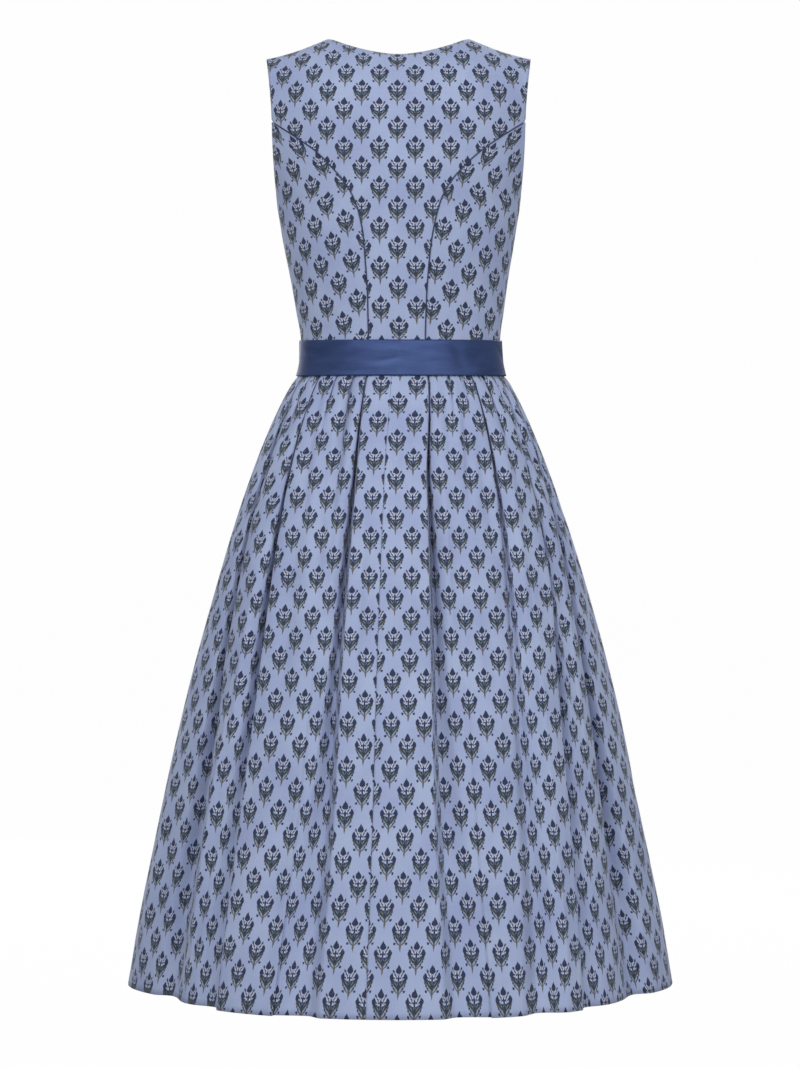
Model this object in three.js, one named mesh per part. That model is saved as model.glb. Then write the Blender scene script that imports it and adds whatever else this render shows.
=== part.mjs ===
// A sleeveless dirndl, worn and hollow: a fitted bodice with princess seams, a satin waist band
// and a pleated skirt. Millimetres, +Z up, the front faces -Y. The origin is the midpoint
// between the shoulders, where the wearer holds the garment up.
import * as THREE from "three";

// Cloth and seams
const COTTON = 1.6;
const SATIN = 1.5;
const SEAM_GAP = 0.3;
const PIPING_RADIUS = 1;
const PIPING_LIFT = 0.35;

// Heights
const HEM_Z = -1215.5;
const BAND_BOTTOM_Z = -424;
const WAIST_SEAM_Z = -401;
const BAND_TOP_Z = -378;
const UNDERARM_Z = -200;
const PRINCESS_TOP_Z = -98;
const YOKE_Z = -93;

// Neck and shoulder seam
const NECK_HALF = 90;
const SHOULDER_HALF = 171;
const NECK_POINT = { y: 6, z: 11.8 };
const SHOULDER_TIP = { y: 0, z: -14.3 };
const BACK_NECK = { y: 58, z: -12.6, curveY: 2.2, curveZ: 1.8, lean: 55 };
const FRONT_NECK = { y: -87, z: -80, curveY: 3, curveZ: 2.6, lean: 30 };
const SHOULDER_LEAN = 88;
const SHOULDER_HANG = 12;

// Bust: how far the front stands out over each apex
const BUST = { out: 15, x: 86, z: -238, spreadX: 40, spreadZ: 46 };

// Tables: one row for each height, fold or pleat, under the names of its columns
function table(names, ...rows) {
  return rows.map((row) => Object.fromEntries(names.map((name, i) => [name, row[i]])));
}

// The form under the cloth. Edges are half widths, angles run from centre to armhole edge.
const FORM = table(
  ["z", "backEdge", "frontEdge", "backAngle", "frontAngle", "sideY", "backY", "frontY"],
  [-93, 163.2, 148, 64.5, 61.4, 0, 105, -89],
  [-124, 162.3, 149.5, 66.9, 63.4, 0, 107.5, -100],
  [-152, 161, 152.5, 70.3, 67.1, -2, 108.5, -110],
  [-178, 159.2, 157, 76.2, 75, -3, 108, -119],
  [-190, 158.2, 157.9, 80.7, 80.7, -3.5, 107.6, -123],
  [-197, 157.8, 157.8, 84.7, 84.9, -3.8, 107.2, -125],
  [-200, 157.7, 157.7, 90, 90, -4, 107, -126],
  [-230, 153.3, 153.3, 90, 90, -5, 105, -129],
  [-260, 148.4, 148.4, 90, 90, -6, 102, -127],
  [-300, 141, 141, 90, 90, -7, 97, -120],
  [-340, 134.9, 134.9, 90, 90, -8, 92, -113],
  [-378, 129.6, 129.6, 90, 90, -8, 88, -109.5],
  [-401, 130.6, 130.6, 90, 90, -8, 89.5, -111],
);

// The form of the skirt, over its outermost cloth
const SKIRT_FORM = table(
  ["z", "half", "sideY", "backY", "frontY"],
  [-378, 129.6, -8, 88, -109.5],
  [-401, 130.6, -8, 89.5, -111],
  [-424, 134.7, -8, 91, -112.5],
  [-431, 140.4, -8, 95, -115.5],
  [-438, 144.8, -7.5, 99, -118],
  [-460, 156.8, -7, 109, -126],
  [-512, 180.1, -5, 131, -144],
  [-564, 198.9, -3, 149, -159],
  [-616, 215.9, -1, 166, -173],
  [-720, 246, 0, 196, -199],
  [-824, 274.6, 0, 222, -224],
  [-928, 300.2, 0, 245, -248],
  [-1032, 323.1, 0, 267, -270],
  [-1136, 344.5, 0, 288, -290],
  [-1215.5, 357.5, 0, 303, -304],
);

// The wearer does not stand quite straight: how far the middle lies to the wearer's left
const SWAY = table(
  ["z", "x"],
  [14, 1.8],
  [-230, 1.8],
  [-340, 0],
  [-424, -1.4],
  [-564, -0.9],
  [-824, 1],
  [-1215.5, 0.4],
);

// The skirt falls in between its back and its sides towards the hem
const SIDE_HOLLOW = { angle: 62, spread: 17, back: 26, front: 16, from: -560 };

// Princess seams: distance from the middle on the wearer's left (+X) and right (-X)
const BACK_PRINCESS = table(
  ["z", "left", "right"],
  [-98, 163, 163],
  [-120, 130.7, 129.4],
  [-138, 106, 104.7],
  [-160, 84.2, 80.9],
  [-178, 68.8, 65.9],
  [-198, 57.3, 54.9],
  [-215, 51, 49.4],
  [-248, 44.6, 42.4],
  [-280, 42.6, 38.1],
  [-322, 40.8, 34.2],
  [-401, 40.8, 30.2],
);
const FRONT_PRINCESS = table(
  ["z", "left", "right"],
  [-98, 146, 146],
  [-124, 125, 125],
  [-160, 106, 106],
  [-200, 92, 92],
  [-240, 84, 84],
  [-290, 72, 72],
  [-345, 58, 58],
  [-401, 50, 50],
);

// Long skirt folds, round from the back: the angle of each valley at four heights, its depth
// and half width at the hem, how far its softer wall leans to the right, and the share of the
// cloth between it and the next one that it takes in.
const FOLDS = table(
  ["name", "waist", "hip", "knee", "hem", "depth", "half", "lean", "share"],
  ["back-left-inner", -18.4, -16.8, -16.5, -19.5, 8, 45, -0.5, 0.39],
  ["back-right-inner", 14.4, 9.8, 9.5, 11, 9, 45, 0.5, 0.5],
  ["back-right-middle", 41.4, 38, 31.5, 28.4, 12, 32, 0.3, 0.5],
  ["back-right-outer", 58.8, 57.5, 45.5, 42.4, 26, 32, 0.4, 0.5],
  ["right-side", 78, 75, 69, 67, 16, 42, -0.2, 0.5],
  ["right-side-front", 102, 101, 101, 101, 9, 45, 0.3, 0.5],
  ["front-right-outer", 124, 122, 121, 121, 20, 40, 0, 0.45],
  ["front-right-middle", 146, 145, 143, 143, 12, 42, -0.3, 0.5],
  ["front-right-inner", 168, 168, 167, 166, 16, 44, 0.4, 0.55],
  ["front-left-inner", 192, 193, 193, 192, 10, 46, -0.4, 0.5],
  ["front-left-middle", 215, 216, 216, 216, 17, 40, 0.2, 0.5],
  ["front-left-outer", 237, 237, 238, 238, 11, 44, -0.3, 0.5],
  ["left-side-front", 259, 259, 260, 260, 15, 44, 0.3, 0.5],
  ["left-side", 289, 292, 296, 296, 18, 40, 0.2, 0.5],
  ["back-left-outer", 310, 313, 318, 317.5, 28, 34, -0.4, 0.5],
);
const FOLD_HEIGHTS = { waist: -424, hip: -564, knee: -900, hem: HEM_Z };

// Short pleats, which open out below the waist: the long fold they follow, their place between
// it and the next at the waist, the cloth that each side takes in, and where they end
const PLEATS = table(
  ["after", "at", "taken", "end"],
  ["back-right-inner", 0.46, 6, -530],
  ["back-right-inner", 0.78, 5, -505],
  ["back-right-middle", 0.5, 8, -575],
  ["back-right-outer", 0.5, 8, -600],
  ["right-side", 0.48, 10, -570],
  ["right-side-front", 0.52, 9, -620],
  ["front-right-outer", 0.5, 8, -590],
  ["front-right-middle", 0.47, 10, -560],
  ["front-right-inner", 0.35, 8, -610],
  ["front-right-inner", 0.66, 8, -560],
  ["front-left-inner", 0.5, 8, -600],
  ["front-left-middle", 0.53, 9, -570],
  ["front-left-outer", 0.5, 8, -610],
  ["left-side-front", 0.5, 9, -580],
  ["left-side", 0.5, 7, -560],
  ["back-left-outer", 0.38, 7, -540],
  ["back-left-outer", 0.73, 8, -610],
);

const PLEAT_HALF = 5;

// How wide and how deep a fold's groove may be from the waist down
const GROOVE = table(
  ["z", "half", "deepest"],
  [-401, 3.2, 5],
  [-424, 3.4, 6],
  [-460, 5, 13],
  [-520, 8, 23],
  [-620, 13, 33],
  [-760, 20, 40],
  [-900, 27, 44],
  [-1215.5, 42, 60],
);

// Below this height a fold's own width and lean come in, up to the hem
const OWN_WIDTH_Z = -600;

// Skirt seams: the centre back seam as cut width after the first fold, and the side back
// seams as cut width from the outer back folds. The front seam lies between the middle pleats.
const CENTRE_BACK_SEAM = 77;
const SIDE_SEAM_SHIFT = 9;

// Grids
const SKIRT_ROWS = [-424, -431, -439, -452, -474, -505, -545, -600, -670, -755, -850, -950, -1050, -1140];
const LONG_STEPS = [-24, -9, 0, 9, 24];
const SHORT_STEPS = [-12.5, 0, 12.5];
const WIDE_CELL = 34;
const EDGE_CELL = 4;
const ARMHOLE_ROWS = [-101, -108, -120, -140, -160, -178, -190, -197];
const BODICE_ROWS = [...ARMHOLE_ROWS, UNDERARM_Z, -225, -255, -290, -325, -360, BAND_TOP_Z];
const YOKE_ROWS = [0, -12, -26, -42, -59, -76, -93, -98];
const HALF_COLUMNS = 11;
const SIDE_COLUMNS = 7;
const BAND_COLUMNS = 96;
const CORD_SIDES = 8;
const ARC_STEPS = 720;
const NECK_SHARE = 6 / HALF_COLUMNS;

// Steps for tangents and normals: degrees and millimetres round the skirt, millimetres up,
// and shares of a bodice half
const DEGREE = Math.PI / 180;
const TANGENT_DEGREES = 0.5;
const SKIRT_NORMAL_STEPS = [1.5, 0.75];
const BODICE_NORMAL_STEPS = [0.004, 0.4];
const SEAM_NORMAL_SHARE = 0.002;

// A column as a smooth function of the height, without overshoot
function smoothColumn(rows, key) {
  const sorted = [...rows].sort((a, b) => a.z - b.z);
  const x = sorted.map((row) => row.z);
  const y = sorted.map((row) => row[key]);
  const steps = x.slice(1).map((value, i) => value - x[i]);
  const slopes = steps.map((step, i) => (y[i + 1] - y[i]) / step);
  const tangents = y.map((_, i) => {
    if (i === 0) return slopes[0];
    if (i === y.length - 1) return slopes[i - 1];
    const product = slopes[i - 1] * slopes[i];
    return product <= 0 ? 0 : (2 * product) / (slopes[i - 1] + slopes[i]);
  });
  return (value) => {
    const v = THREE.MathUtils.clamp(value, x[0], x[x.length - 1]);
    let i = 0;
    while (i < steps.length - 1 && v > x[i + 1]) i += 1;
    const t = (v - x[i]) / steps[i];
    const rise = t * t * (3 - 2 * t);
    const bend = t * (1 - t) * steps[i] * (tangents[i] * (1 - t) - tangents[i + 1] * t);
    return y[i] * (1 - rise) + y[i + 1] * rise + bend;
  };
}

function columns(rows, keys) {
  return Object.fromEntries(keys.map((key) => [key, smoothColumn(rows, key)]));
}

const swayAt = smoothColumn(SWAY, "x");

// Walls: a grid of outer points, moved in along their normals by the cloth's thickness

const across = new THREE.Vector3();
const upward = new THREE.Vector3();

function normalAt(surface, u, h, [stepU, stepH]) {
  across.subVectors(surface(u + stepU, h), surface(u - stepU, h));
  upward.subVectors(surface(u, h + stepH), surface(u, h - stepH));
  return new THREE.Vector3().crossVectors(across, upward).normalize();
}

function wallGeometry(rows, thickness, closed = false) {
  const rowCount = rows.length;
  const columnCount = rows[0].length;
  const outer = rows.flat();
  const points = outer.concat(
    outer.map(({ point, normal }) => ({ point: point.clone().addScaledVector(normal, -thickness) })),
  );
  const inside = outer.length;
  const index = [];
  const at = (i, j) => i * columnCount + (j % columnCount);
  const quad = (a, b, c, d) => index.push(a, b, c, a, c, d);
  const rim = (p, q) => quad(q, p, p + inside, q + inside);
  const cells = closed ? columnCount : columnCount - 1;
  for (let i = 0; i < rowCount - 1; i += 1) {
    for (let j = 0; j < cells; j += 1) {
      const corners = [at(i, j), at(i + 1, j), at(i + 1, j + 1), at(i, j + 1)];
      quad(...corners);
      quad(...corners.map((corner) => corner + inside).reverse());
    }
  }
  for (let j = 0; j < cells; j += 1) {
    rim(at(0, j + 1), at(0, j));
    rim(at(rowCount - 1, j), at(rowCount - 1, j + 1));
  }
  for (let i = 0; !closed && i < rowCount - 1; i += 1) {
    rim(at(i, 0), at(i + 1, 0));
    rim(at(i + 1, columnCount - 1), at(i, columnCount - 1));
  }
  const geometry = new THREE.BufferGeometry();
  const positions = points.flatMap(({ point }) => point.toArray());
  geometry.setAttribute("position", new THREE.Float32BufferAttribute(positions, 3));
  geometry.setIndex(index);
  geometry.computeVertexNormals();
  return geometry;
}

// Skirt: its sections keep the cut's full width at every height, and the folds take in
// what the form does not need

const skirtForm = columns(SKIRT_FORM, ["half", "sideY", "backY", "frontY"]);
const groove = columns(GROOVE, ["half", "deepest"]);
const foldAngles = FOLDS.map((fold) =>
  smoothColumn(
    Object.entries(FOLD_HEIGHTS).map(([key, z]) => ({ z, angle: fold[key] })),
    "angle",
  ),
);

function skirtFormPoint(degrees, z) {
  const angle = degrees * DEGREE;
  const side = skirtForm.sideY(z);
  const behind = Math.cos(angle) > 0;
  const reach = (behind ? skirtForm.backY(z) : side * 2 - skirtForm.frontY(z)) - side;
  const toSide = Math.abs(Math.abs(THREE.MathUtils.euclideanModulo(degrees + 180, 360) - 180) - 90);
  const off = (toSide - (90 - SIDE_HOLLOW.angle)) / SIDE_HOLLOW.spread;
  const fall = THREE.MathUtils.smoothstep(SIDE_HOLLOW.from - z, 0, SIDE_HOLLOW.from - HEM_Z);
  const inward = (behind ? SIDE_HOLLOW.back : SIDE_HOLLOW.front) * fall * Math.exp(-off * off);
  const shrink = 1 - inward / skirtForm.half(z);
  return new THREE.Vector3(
    swayAt(z) - skirtForm.half(z) * Math.sin(angle) * shrink,
    side + reach * Math.cos(angle) * shrink,
    z,
  );
}

// The way out of the skirt, level, at an angle round its form
function skirtOutward(degrees, z) {
  const before = skirtFormPoint(degrees - TANGENT_DEGREES, z);
  const tangent = skirtFormPoint(degrees + TANGENT_DEGREES, z).sub(before).normalize();
  return new THREE.Vector3(tangent.y, -tangent.x, 0);
}

function arcTable(z) {
  const lengths = [0];
  let last = skirtFormPoint(0, z);
  for (let i = 1; i <= ARC_STEPS; i += 1) {
    const next = skirtFormPoint((360 * i) / ARC_STEPS, z);
    lengths.push(lengths[i - 1] + next.distanceTo(last));
    last = next;
  }
  const around = lengths[ARC_STEPS];
  const lengthAt = (degrees) => {
    const turns = Math.floor(degrees / 360);
    const place = ((degrees - turns * 360) / 360) * ARC_STEPS;
    const i = Math.min(Math.floor(place), ARC_STEPS - 1);
    return turns * around + lengths[i] + (lengths[i + 1] - lengths[i]) * (place - i);
  };
  const degreesAt = (length) => {
    const turns = Math.floor(length / around);
    const rest = length - turns * around;
    let low = 0;
    let high = ARC_STEPS;
    while (high - low > 1) {
      const middle = (low + high) >> 1;
      if (lengths[middle] <= rest) low = middle;
      else high = middle;
    }
    const share = (rest - lengths[low]) / (lengths[high] - lengths[low]);
    return turns * 360 + (360 * (low + share)) / ARC_STEPS;
  };
  return { lengthAt, degreesAt, around };
}

// The two half widths of fold number i at height z, left and right of its valley
function grooveHalves(i, z) {
  const { half, lean } = FOLDS[i];
  const widest = groove.half(HEM_Z);
  const open = THREE.MathUtils.smoothstep(-z, -OWN_WIDTH_Z, -HEM_Z);
  const wide = groove.half(z) * (1 + (half / widest - 1) * open);
  return { left: wide * (1 - lean), right: wide * (1 + lean) };
}

const nextFold = (i) => (i + 1) % FOLDS.length;
const foldLength = (arcs, i, z) =>
  i < FOLDS.length ? arcs.lengthAt(foldAngles[i](z)) : arcs.lengthAt(foldAngles[0](z) + 360);

// The cut between each fold and the next comes from the hem, where every fold is open
const hemArcs = arcTable(HEM_Z);
const lobeCuts = FOLDS.map((fold, i) => {
  const chord = foldLength(hemArcs, i + 1, HEM_Z) - foldLength(hemArcs, i, HEM_Z);
  const start = grooveHalves(i, HEM_Z).right;
  const end = grooveHalves(nextFold(i), HEM_Z).left;
  const slack = (half, depth) => Math.hypot(half, depth) - half;
  return chord + slack(start, fold.depth) + slack(end, FOLDS[nextFold(i)].depth);
});
const foldCuts = lobeCuts.map((_, i) => lobeCuts.slice(0, i).reduce((sum, cut) => sum + cut, 0));
const SKIRT_CUT = lobeCuts.reduce((sum, cut) => sum + cut, 0);
const foldNumber = (name) => FOLDS.findIndex((fold) => fold.name === name);

const pleatsAfter = FOLDS.map(({ name }) => PLEATS.filter(({ after }) => after === name));

// A pleat keeps its groove's half width and the extra cloth in each wall until it opens out
function pleatSizes({ taken, end }, z) {
  const half = Math.min(groove.half(z), PLEAT_HALF);
  const kept = 1 - THREE.MathUtils.smoothstep(-z, -BAND_BOTTOM_Z, -end);
  const extra = taken * kept;
  return { half, extra, depth: softLimit(wallReach(half, extra), groove.deepest(z)) };
}

const wallReach = (half, extra) => Math.sqrt((half + extra) ** 2 - half ** 2);

function softLimit(value, most) {
  return most * Math.tanh(value / most);
}

function lobe(arcs, i, z) {
  const start = foldLength(arcs, i, z);
  const chord = foldLength(arcs, i + 1, z) - start;
  const pleats = pleatsAfter[i].map((pleat) => pleatSizes(pleat, z));
  const inPleats = pleats.reduce((sum, { extra }) => sum + 2 * extra, 0);
  const spare = Math.max(lobeCuts[i] - chord - inPleats, 0);
  const extras = { left: spare * FOLDS[i].share, right: spare * (1 - FOLDS[i].share) };
  return { start, chord, pleats, extras };
}

// The cut at each pleat's valley comes from its place at the waist
const waistArcs = arcTable(BAND_BOTTOM_Z);
const pleatCuts = FOLDS.map((_, i) => {
  const { chord, pleats, extras } = lobe(waistArcs, i, BAND_BOTTOM_Z);
  return pleats.map(({ extra }, k) => {
    const before = pleats.slice(0, k).reduce((sum, pleat) => sum + 2 * pleat.extra, 0);
    return chord * pleatsAfter[i][k].at + extras.left + before + extra;
  });
});

// One height of the skirt: for every fold and pleat, its place round the form, its walls'
// widths round the form, the cloth that each wall takes in, and its depth
function skirtRow(z) {
  const arcs = arcTable(z);
  const lobes = FOLDS.map((_, i) => lobe(arcs, i, z));
  const depths = FOLDS.map((_, i) => {
    const before = lobes[(i + FOLDS.length - 1) % FOLDS.length];
    const halves = grooveHalves(i, z);
    const left = wallReach(halves.left, before.extras.right);
    const right = wallReach(halves.right, lobes[i].extras.left);
    return softLimit((left + right) / 2, groove.deepest(z));
  });
  return { arcs, lobes, depths, z };
}

const skirtRows = new Map();
function rowAt(z) {
  if (!skirtRows.has(z)) skirtRows.set(z, skirtRow(z));
  return skirtRows.get(z);
}

// The features of one lobe in order: fold, pleats, fold
function lobeFeatures(row, i) {
  const { chord, pleats, extras } = row.lobes[i];
  const next = nextFold(i);
  const start = grooveHalves(i, row.z).right;
  const end = grooveHalves(next, row.z).left;
  const first = { cut: 0, place: 0, right: start, rightCut: start + extras.left };
  const last = { cut: lobeCuts[i], place: chord, left: end, leftCut: end + extras.right };
  let taken = extras.left;
  const between = pleats.map(({ half, extra, depth }, k) => {
    const cut = pleatCuts[i][k];
    const place = cut - taken - extra;
    const cutHalf = half + extra;
    taken += 2 * extra;
    return { cut, place, left: half, leftCut: cutHalf, right: half, rightCut: cutHalf, depth };
  });
  return [{ ...first, depth: row.depths[i] }, ...between, { ...last, depth: row.depths[next] }];
}

const wallDepth = (share, depth) => (depth * (1 - Math.cos(Math.PI * share))) / 2;

function skirtPoint(cut, z) {
  const row = rowAt(z);
  const around = THREE.MathUtils.euclideanModulo(cut, SKIRT_CUT);
  let i = FOLDS.length - 1;
  while (foldCuts[i] > around) i -= 1;
  const local = around - foldCuts[i];
  const features = lobeFeatures(row, i);
  let k = 0;
  while (k < features.length - 2 && local > features[k + 1].cut) k += 1;
  const [before, after] = [features[k], features[k + 1]];
  const fromBefore = local - before.cut;
  const toAfter = after.cut - local;
  let place;
  let depth = 0;
  if (fromBefore < before.rightCut) {
    const share = 1 - fromBefore / before.rightCut;
    place = before.place + before.right * (1 - share);
    depth = wallDepth(share, before.depth);
  } else if (toAfter < after.leftCut) {
    const share = 1 - toAfter / after.leftCut;
    place = after.place - after.left * (1 - share);
    depth = wallDepth(share, after.depth);
  } else {
    const cutBetween = after.cut - after.leftCut - before.cut - before.rightCut;
    const [from, to] = [before.place + before.right, after.place - after.left];
    place = from + ((to - from) * (fromBefore - before.rightCut)) / cutBetween;
  }
  const degrees = row.arcs.degreesAt(row.lobes[i].start + place);
  return skirtFormPoint(degrees, z).addScaledVector(skirtOutward(degrees, z), -depth);
}

// The cuts of all columns: steps from each fold and pleat, and the middle of wide plain cloth
function skirtColumns() {
  const cuts = [];
  FOLDS.forEach((_, i) => {
    LONG_STEPS.forEach((step) => cuts.push(foldCuts[i] + step));
    pleatCuts[i].forEach((cut) => SHORT_STEPS.forEach((step) => cuts.push(foldCuts[i] + cut + step)));
  });
  return cuts.map((cut) => THREE.MathUtils.euclideanModulo(cut, SKIRT_CUT)).sort((a, b) => a - b);
}

function panelColumns(from, to) {
  const inner = skirtColumns()
    .flatMap((cut) => [cut, cut + SKIRT_CUT])
    .filter((cut) => cut > from + EDGE_CELL && cut < to - EDGE_CELL)
    .sort((a, b) => a - b);
  const edges = [from + SEAM_GAP / 2, ...inner, to - SEAM_GAP / 2];
  return edges.flatMap((cut, i) => {
    const gap = i + 1 < edges.length ? edges[i + 1] - cut : 0;
    const extra = Math.floor(gap / WIDE_CELL);
    return Array.from({ length: extra + 1 }, (_, k) => cut + (gap * k) / (extra + 1));
  });
}

function skirtPanel(from, to) {
  const heights = [WAIST_SEAM_Z - SEAM_GAP / 2, ...SKIRT_ROWS, HEM_Z];
  const cuts = panelColumns(from, to);
  const rows = heights.map((z) =>
    cuts.map((cut) => ({
      point: skirtPoint(cut, z),
      normal: normalAt(skirtPoint, cut, z, SKIRT_NORMAL_STEPS),
    })),
  );
  return wallGeometry(rows, COTTON);
}

// Bodice: level sections up to the yoke height, and above it the cloth bends over to the neck
// and the shoulder seam. A share runs from the centre, 0, to the armhole edge, 1 or -1.

const FORM_KEYS = ["backEdge", "frontEdge", "backAngle", "frontAngle", "sideY", "backY", "frontY"];
const form = columns(FORM, FORM_KEYS);
const BACK = {
  sign: -1,
  edge: "backEdge",
  angle: "backAngle",
  centre: "backY",
  neck: BACK_NECK,
  princess: columns(BACK_PRINCESS, ["left", "right"]),
};
const FRONT = {
  sign: 1,
  edge: "frontEdge",
  angle: "frontAngle",
  centre: "frontY",
  neck: FRONT_NECK,
  princess: columns(FRONT_PRINCESS, ["left", "right"]),
};

function bustOut(x, z) {
  const dx = (Math.abs(x) - BUST.x) / BUST.spreadX;
  const dz = (z - BUST.z) / BUST.spreadZ;
  return BUST.out * Math.exp(-(dx * dx + dz * dz) / 2);
}

function levelPoint(half, share, z) {
  const edgeAngle = form[half.angle](z) * DEGREE;
  const width = form[half.edge](z) / Math.sin(edgeAngle);
  const angle = share * edgeAngle;
  const side = form.sideY(z);
  const x = half.sign * width * Math.sin(angle);
  const bust = half.sign > 0 ? bustOut(x, z) * Math.cos(angle) : 0;
  return new THREE.Vector3(swayAt(z) + x, side + (form[half.centre](z) - side) * Math.cos(angle) - bust, z);
}

// The top edge, from the centre of the neck over the neck point to the shoulder tip
function topEdge(half, share) {
  const along = Math.abs(share);
  const toSide = half.sign * Math.sign(share);
  const pointY = NECK_POINT.y - (half.sign * SEAM_GAP) / 2;
  if (along <= NECK_SHARE) {
    const t = along / NECK_SHARE;
    const y = half.neck.y + (pointY - half.neck.y) * t ** half.neck.curveY;
    const z = half.neck.z + (NECK_POINT.z - half.neck.z) * t ** half.neck.curveZ;
    return new THREE.Vector3(swayAt(0) + toSide * NECK_HALF * t, y, z);
  }
  const t = (along - NECK_SHARE) / (1 - NECK_SHARE);
  const hang = SHOULDER_HANG * t * (1 - t);
  return new THREE.Vector3(
    swayAt(0) + toSide * (NECK_HALF + (SHOULDER_HALF - NECK_HALF) * t),
    pointY + (SHOULDER_TIP.y - NECK_POINT.y) * t,
    NECK_POINT.z + (SHOULDER_TIP.z - NECK_POINT.z) * t - hang,
  );
}

// A height is in real millimetres up to the yoke, and reaches 0 at the top edge. The bend
// starts with the slope of the cloth below it.
function bodicePoint(half, share, height) {
  if (height <= YOKE_Z) return levelPoint(half, share, height);
  const rise = 1 - height / YOKE_Z;
  const from = levelPoint(half, share, YOKE_Z);
  const below = from.clone().sub(levelPoint(half, share, YOKE_Z - 1));
  const to = topEdge(half, share);
  const toShoulder = THREE.MathUtils.smoothstep(Math.abs(share), 0, NECK_SHARE);
  const lean = (half.neck.lean + (SHOULDER_LEAN - half.neck.lean) * toShoulder) * DEGREE;
  const up = Math.sin(rise * lean) / Math.sin(lean);
  const over = (1 - Math.cos(rise * lean)) / (1 - Math.cos(lean));
  const start = (lean / Math.sin(lean)) * rise * (1 - rise) ** 2;
  return new THREE.Vector3(
    from.x + (to.x - from.x) * (up - start) + below.x * (to.z - from.z) * start,
    from.y + (to.y - from.y) * over + below.y * (to.z - from.z) * start,
    from.z + (to.z - from.z) * up,
  );
}

// The share of a princess seam at a height, 1 above its end at the armhole
function princessShare(half, key, height) {
  if (height >= PRINCESS_TOP_Z) return 1;
  const edgeAngle = form[half.angle](height) * DEGREE;
  const width = form[half.edge](height) / Math.sin(edgeAngle);
  const x = half.princess[key](height);
  return Math.min(Math.asin(Math.min(x / width, 1)) / edgeAngle, 1);
}

// Half a seam's gap as a share, wider along the level where the seam slants
function gapShare(half, share, height, slant = 0) {
  const from = bodicePoint(half, share - SEAM_NORMAL_SHARE, height);
  const span = bodicePoint(half, share + SEAM_NORMAL_SHARE, height).distanceTo(from);
  return (SEAM_GAP * Math.hypot(1, slant) * SEAM_NORMAL_SHARE) / span;
}

function princessGap(half, key, height) {
  const seam = half.princess[key];
  const slant = (seam(height + 1) - seam(height - 1)) / 2;
  return gapShare(half, princessShare(half, key, height), height, slant);
}

// Where a centre panel ends: its princess seam, or the armhole above it
function centrePanelEdge(half, key, height) {
  const share = princessShare(half, key, height);
  return height >= PRINCESS_TOP_Z ? share : share - princessGap(half, key, height);
}

function bodiceWall(half, heights, fromShare, toShare, columnCount) {
  const surface = (share, height) => bodicePoint(half, share, height);
  const rows = heights.map((height) => {
    const [from, to] = [fromShare(height), toShare(height)];
    return Array.from({ length: columnCount + 1 }, (_, j) => {
      const share = from + ((to - from) * j) / columnCount;
      return {
        point: surface(share, height),
        normal: normalAt(surface, share, height, BODICE_NORMAL_STEPS),
      };
    });
  });
  return wallGeometry(rows, COTTON);
}

const BODICE_BOTTOM_Z = WAIST_SEAM_Z + SEAM_GAP / 2;
const CENTRE_HEIGHTS = [...YOKE_ROWS, ...BODICE_ROWS, BODICE_BOTTOM_Z];
const SIDE_HEIGHTS = [...BODICE_ROWS, BODICE_BOTTOM_Z];

function backCentre() {
  const from = (height) => -centrePanelEdge(BACK, "left", height);
  const to = (height) => centrePanelEdge(BACK, "right", height);
  return bodiceWall(BACK, CENTRE_HEIGHTS, from, to, 2 * HALF_COLUMNS);
}

// Shares grow to the right as each half is seen from outside
const isRight = (half, key) => (key === "right") === (half.sign < 0);

function frontCentre(key) {
  const middle = (height) => gapShare(FRONT, 0, height);
  const seam = (height) => centrePanelEdge(FRONT, key, height);
  return isRight(FRONT, key)
    ? bodiceWall(FRONT, CENTRE_HEIGHTS, middle, seam, HALF_COLUMNS)
    : bodiceWall(FRONT, CENTRE_HEIGHTS, (h) => -seam(h), (h) => -middle(h), HALF_COLUMNS);
}

// A side panel runs from its princess seam to the side seam, up to a point at the armhole
function sidePanel(half, key) {
  const inner = (h) => princessShare(half, key, h) + princessGap(half, key, h);
  const outer = (h) => (h <= UNDERARM_Z ? 1 - gapShare(half, 1, h) : 1);
  return isRight(half, key)
    ? bodiceWall(half, SIDE_HEIGHTS, inner, outer, SIDE_COLUMNS)
    : bodiceWall(half, SIDE_HEIGHTS, (h) => -outer(h), (h) => -inner(h), SIDE_COLUMNS);
}

// The piping lies in each back princess seam, from the armhole down to the band
function cordGeometry(path, radius) {
  const points = [];
  const index = [];
  path.forEach(({ point, normal }, i) => {
    const before = path[Math.max(i - 1, 0)].point;
    const after = path[Math.min(i + 1, path.length - 1)].point;
    const along = new THREE.Vector3().subVectors(after, before).normalize();
    const sideways = new THREE.Vector3().crossVectors(along, normal).normalize();
    const out = new THREE.Vector3().crossVectors(sideways, along);
    for (let k = 0; k < CORD_SIDES; k += 1) {
      const angle = (2 * Math.PI * k) / CORD_SIDES;
      const ring = point.clone().addScaledVector(out, radius * Math.cos(angle));
      points.push(ring.addScaledVector(sideways, radius * Math.sin(angle)));
    }
  });
  const at = (i, k) => i * CORD_SIDES + (k % CORD_SIDES);
  for (let i = 0; i < path.length - 1; i += 1) {
    for (let k = 0; k < CORD_SIDES; k += 1) {
      index.push(at(i, k), at(i, k + 1), at(i + 1, k + 1));
      index.push(at(i, k), at(i + 1, k + 1), at(i + 1, k));
    }
  }
  for (let k = 1; k < CORD_SIDES - 1; k += 1) {
    const last = path.length - 1;
    index.push(at(0, 0), at(0, k + 1), at(0, k));
    index.push(at(last, 0), at(last, k), at(last, k + 1));
  }
  const geometry = new THREE.BufferGeometry();
  const positions = points.flatMap((point) => point.toArray());
  geometry.setAttribute("position", new THREE.Float32BufferAttribute(positions, 3));
  geometry.setIndex(index);
  geometry.computeVertexNormals();
  return geometry;
}

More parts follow.
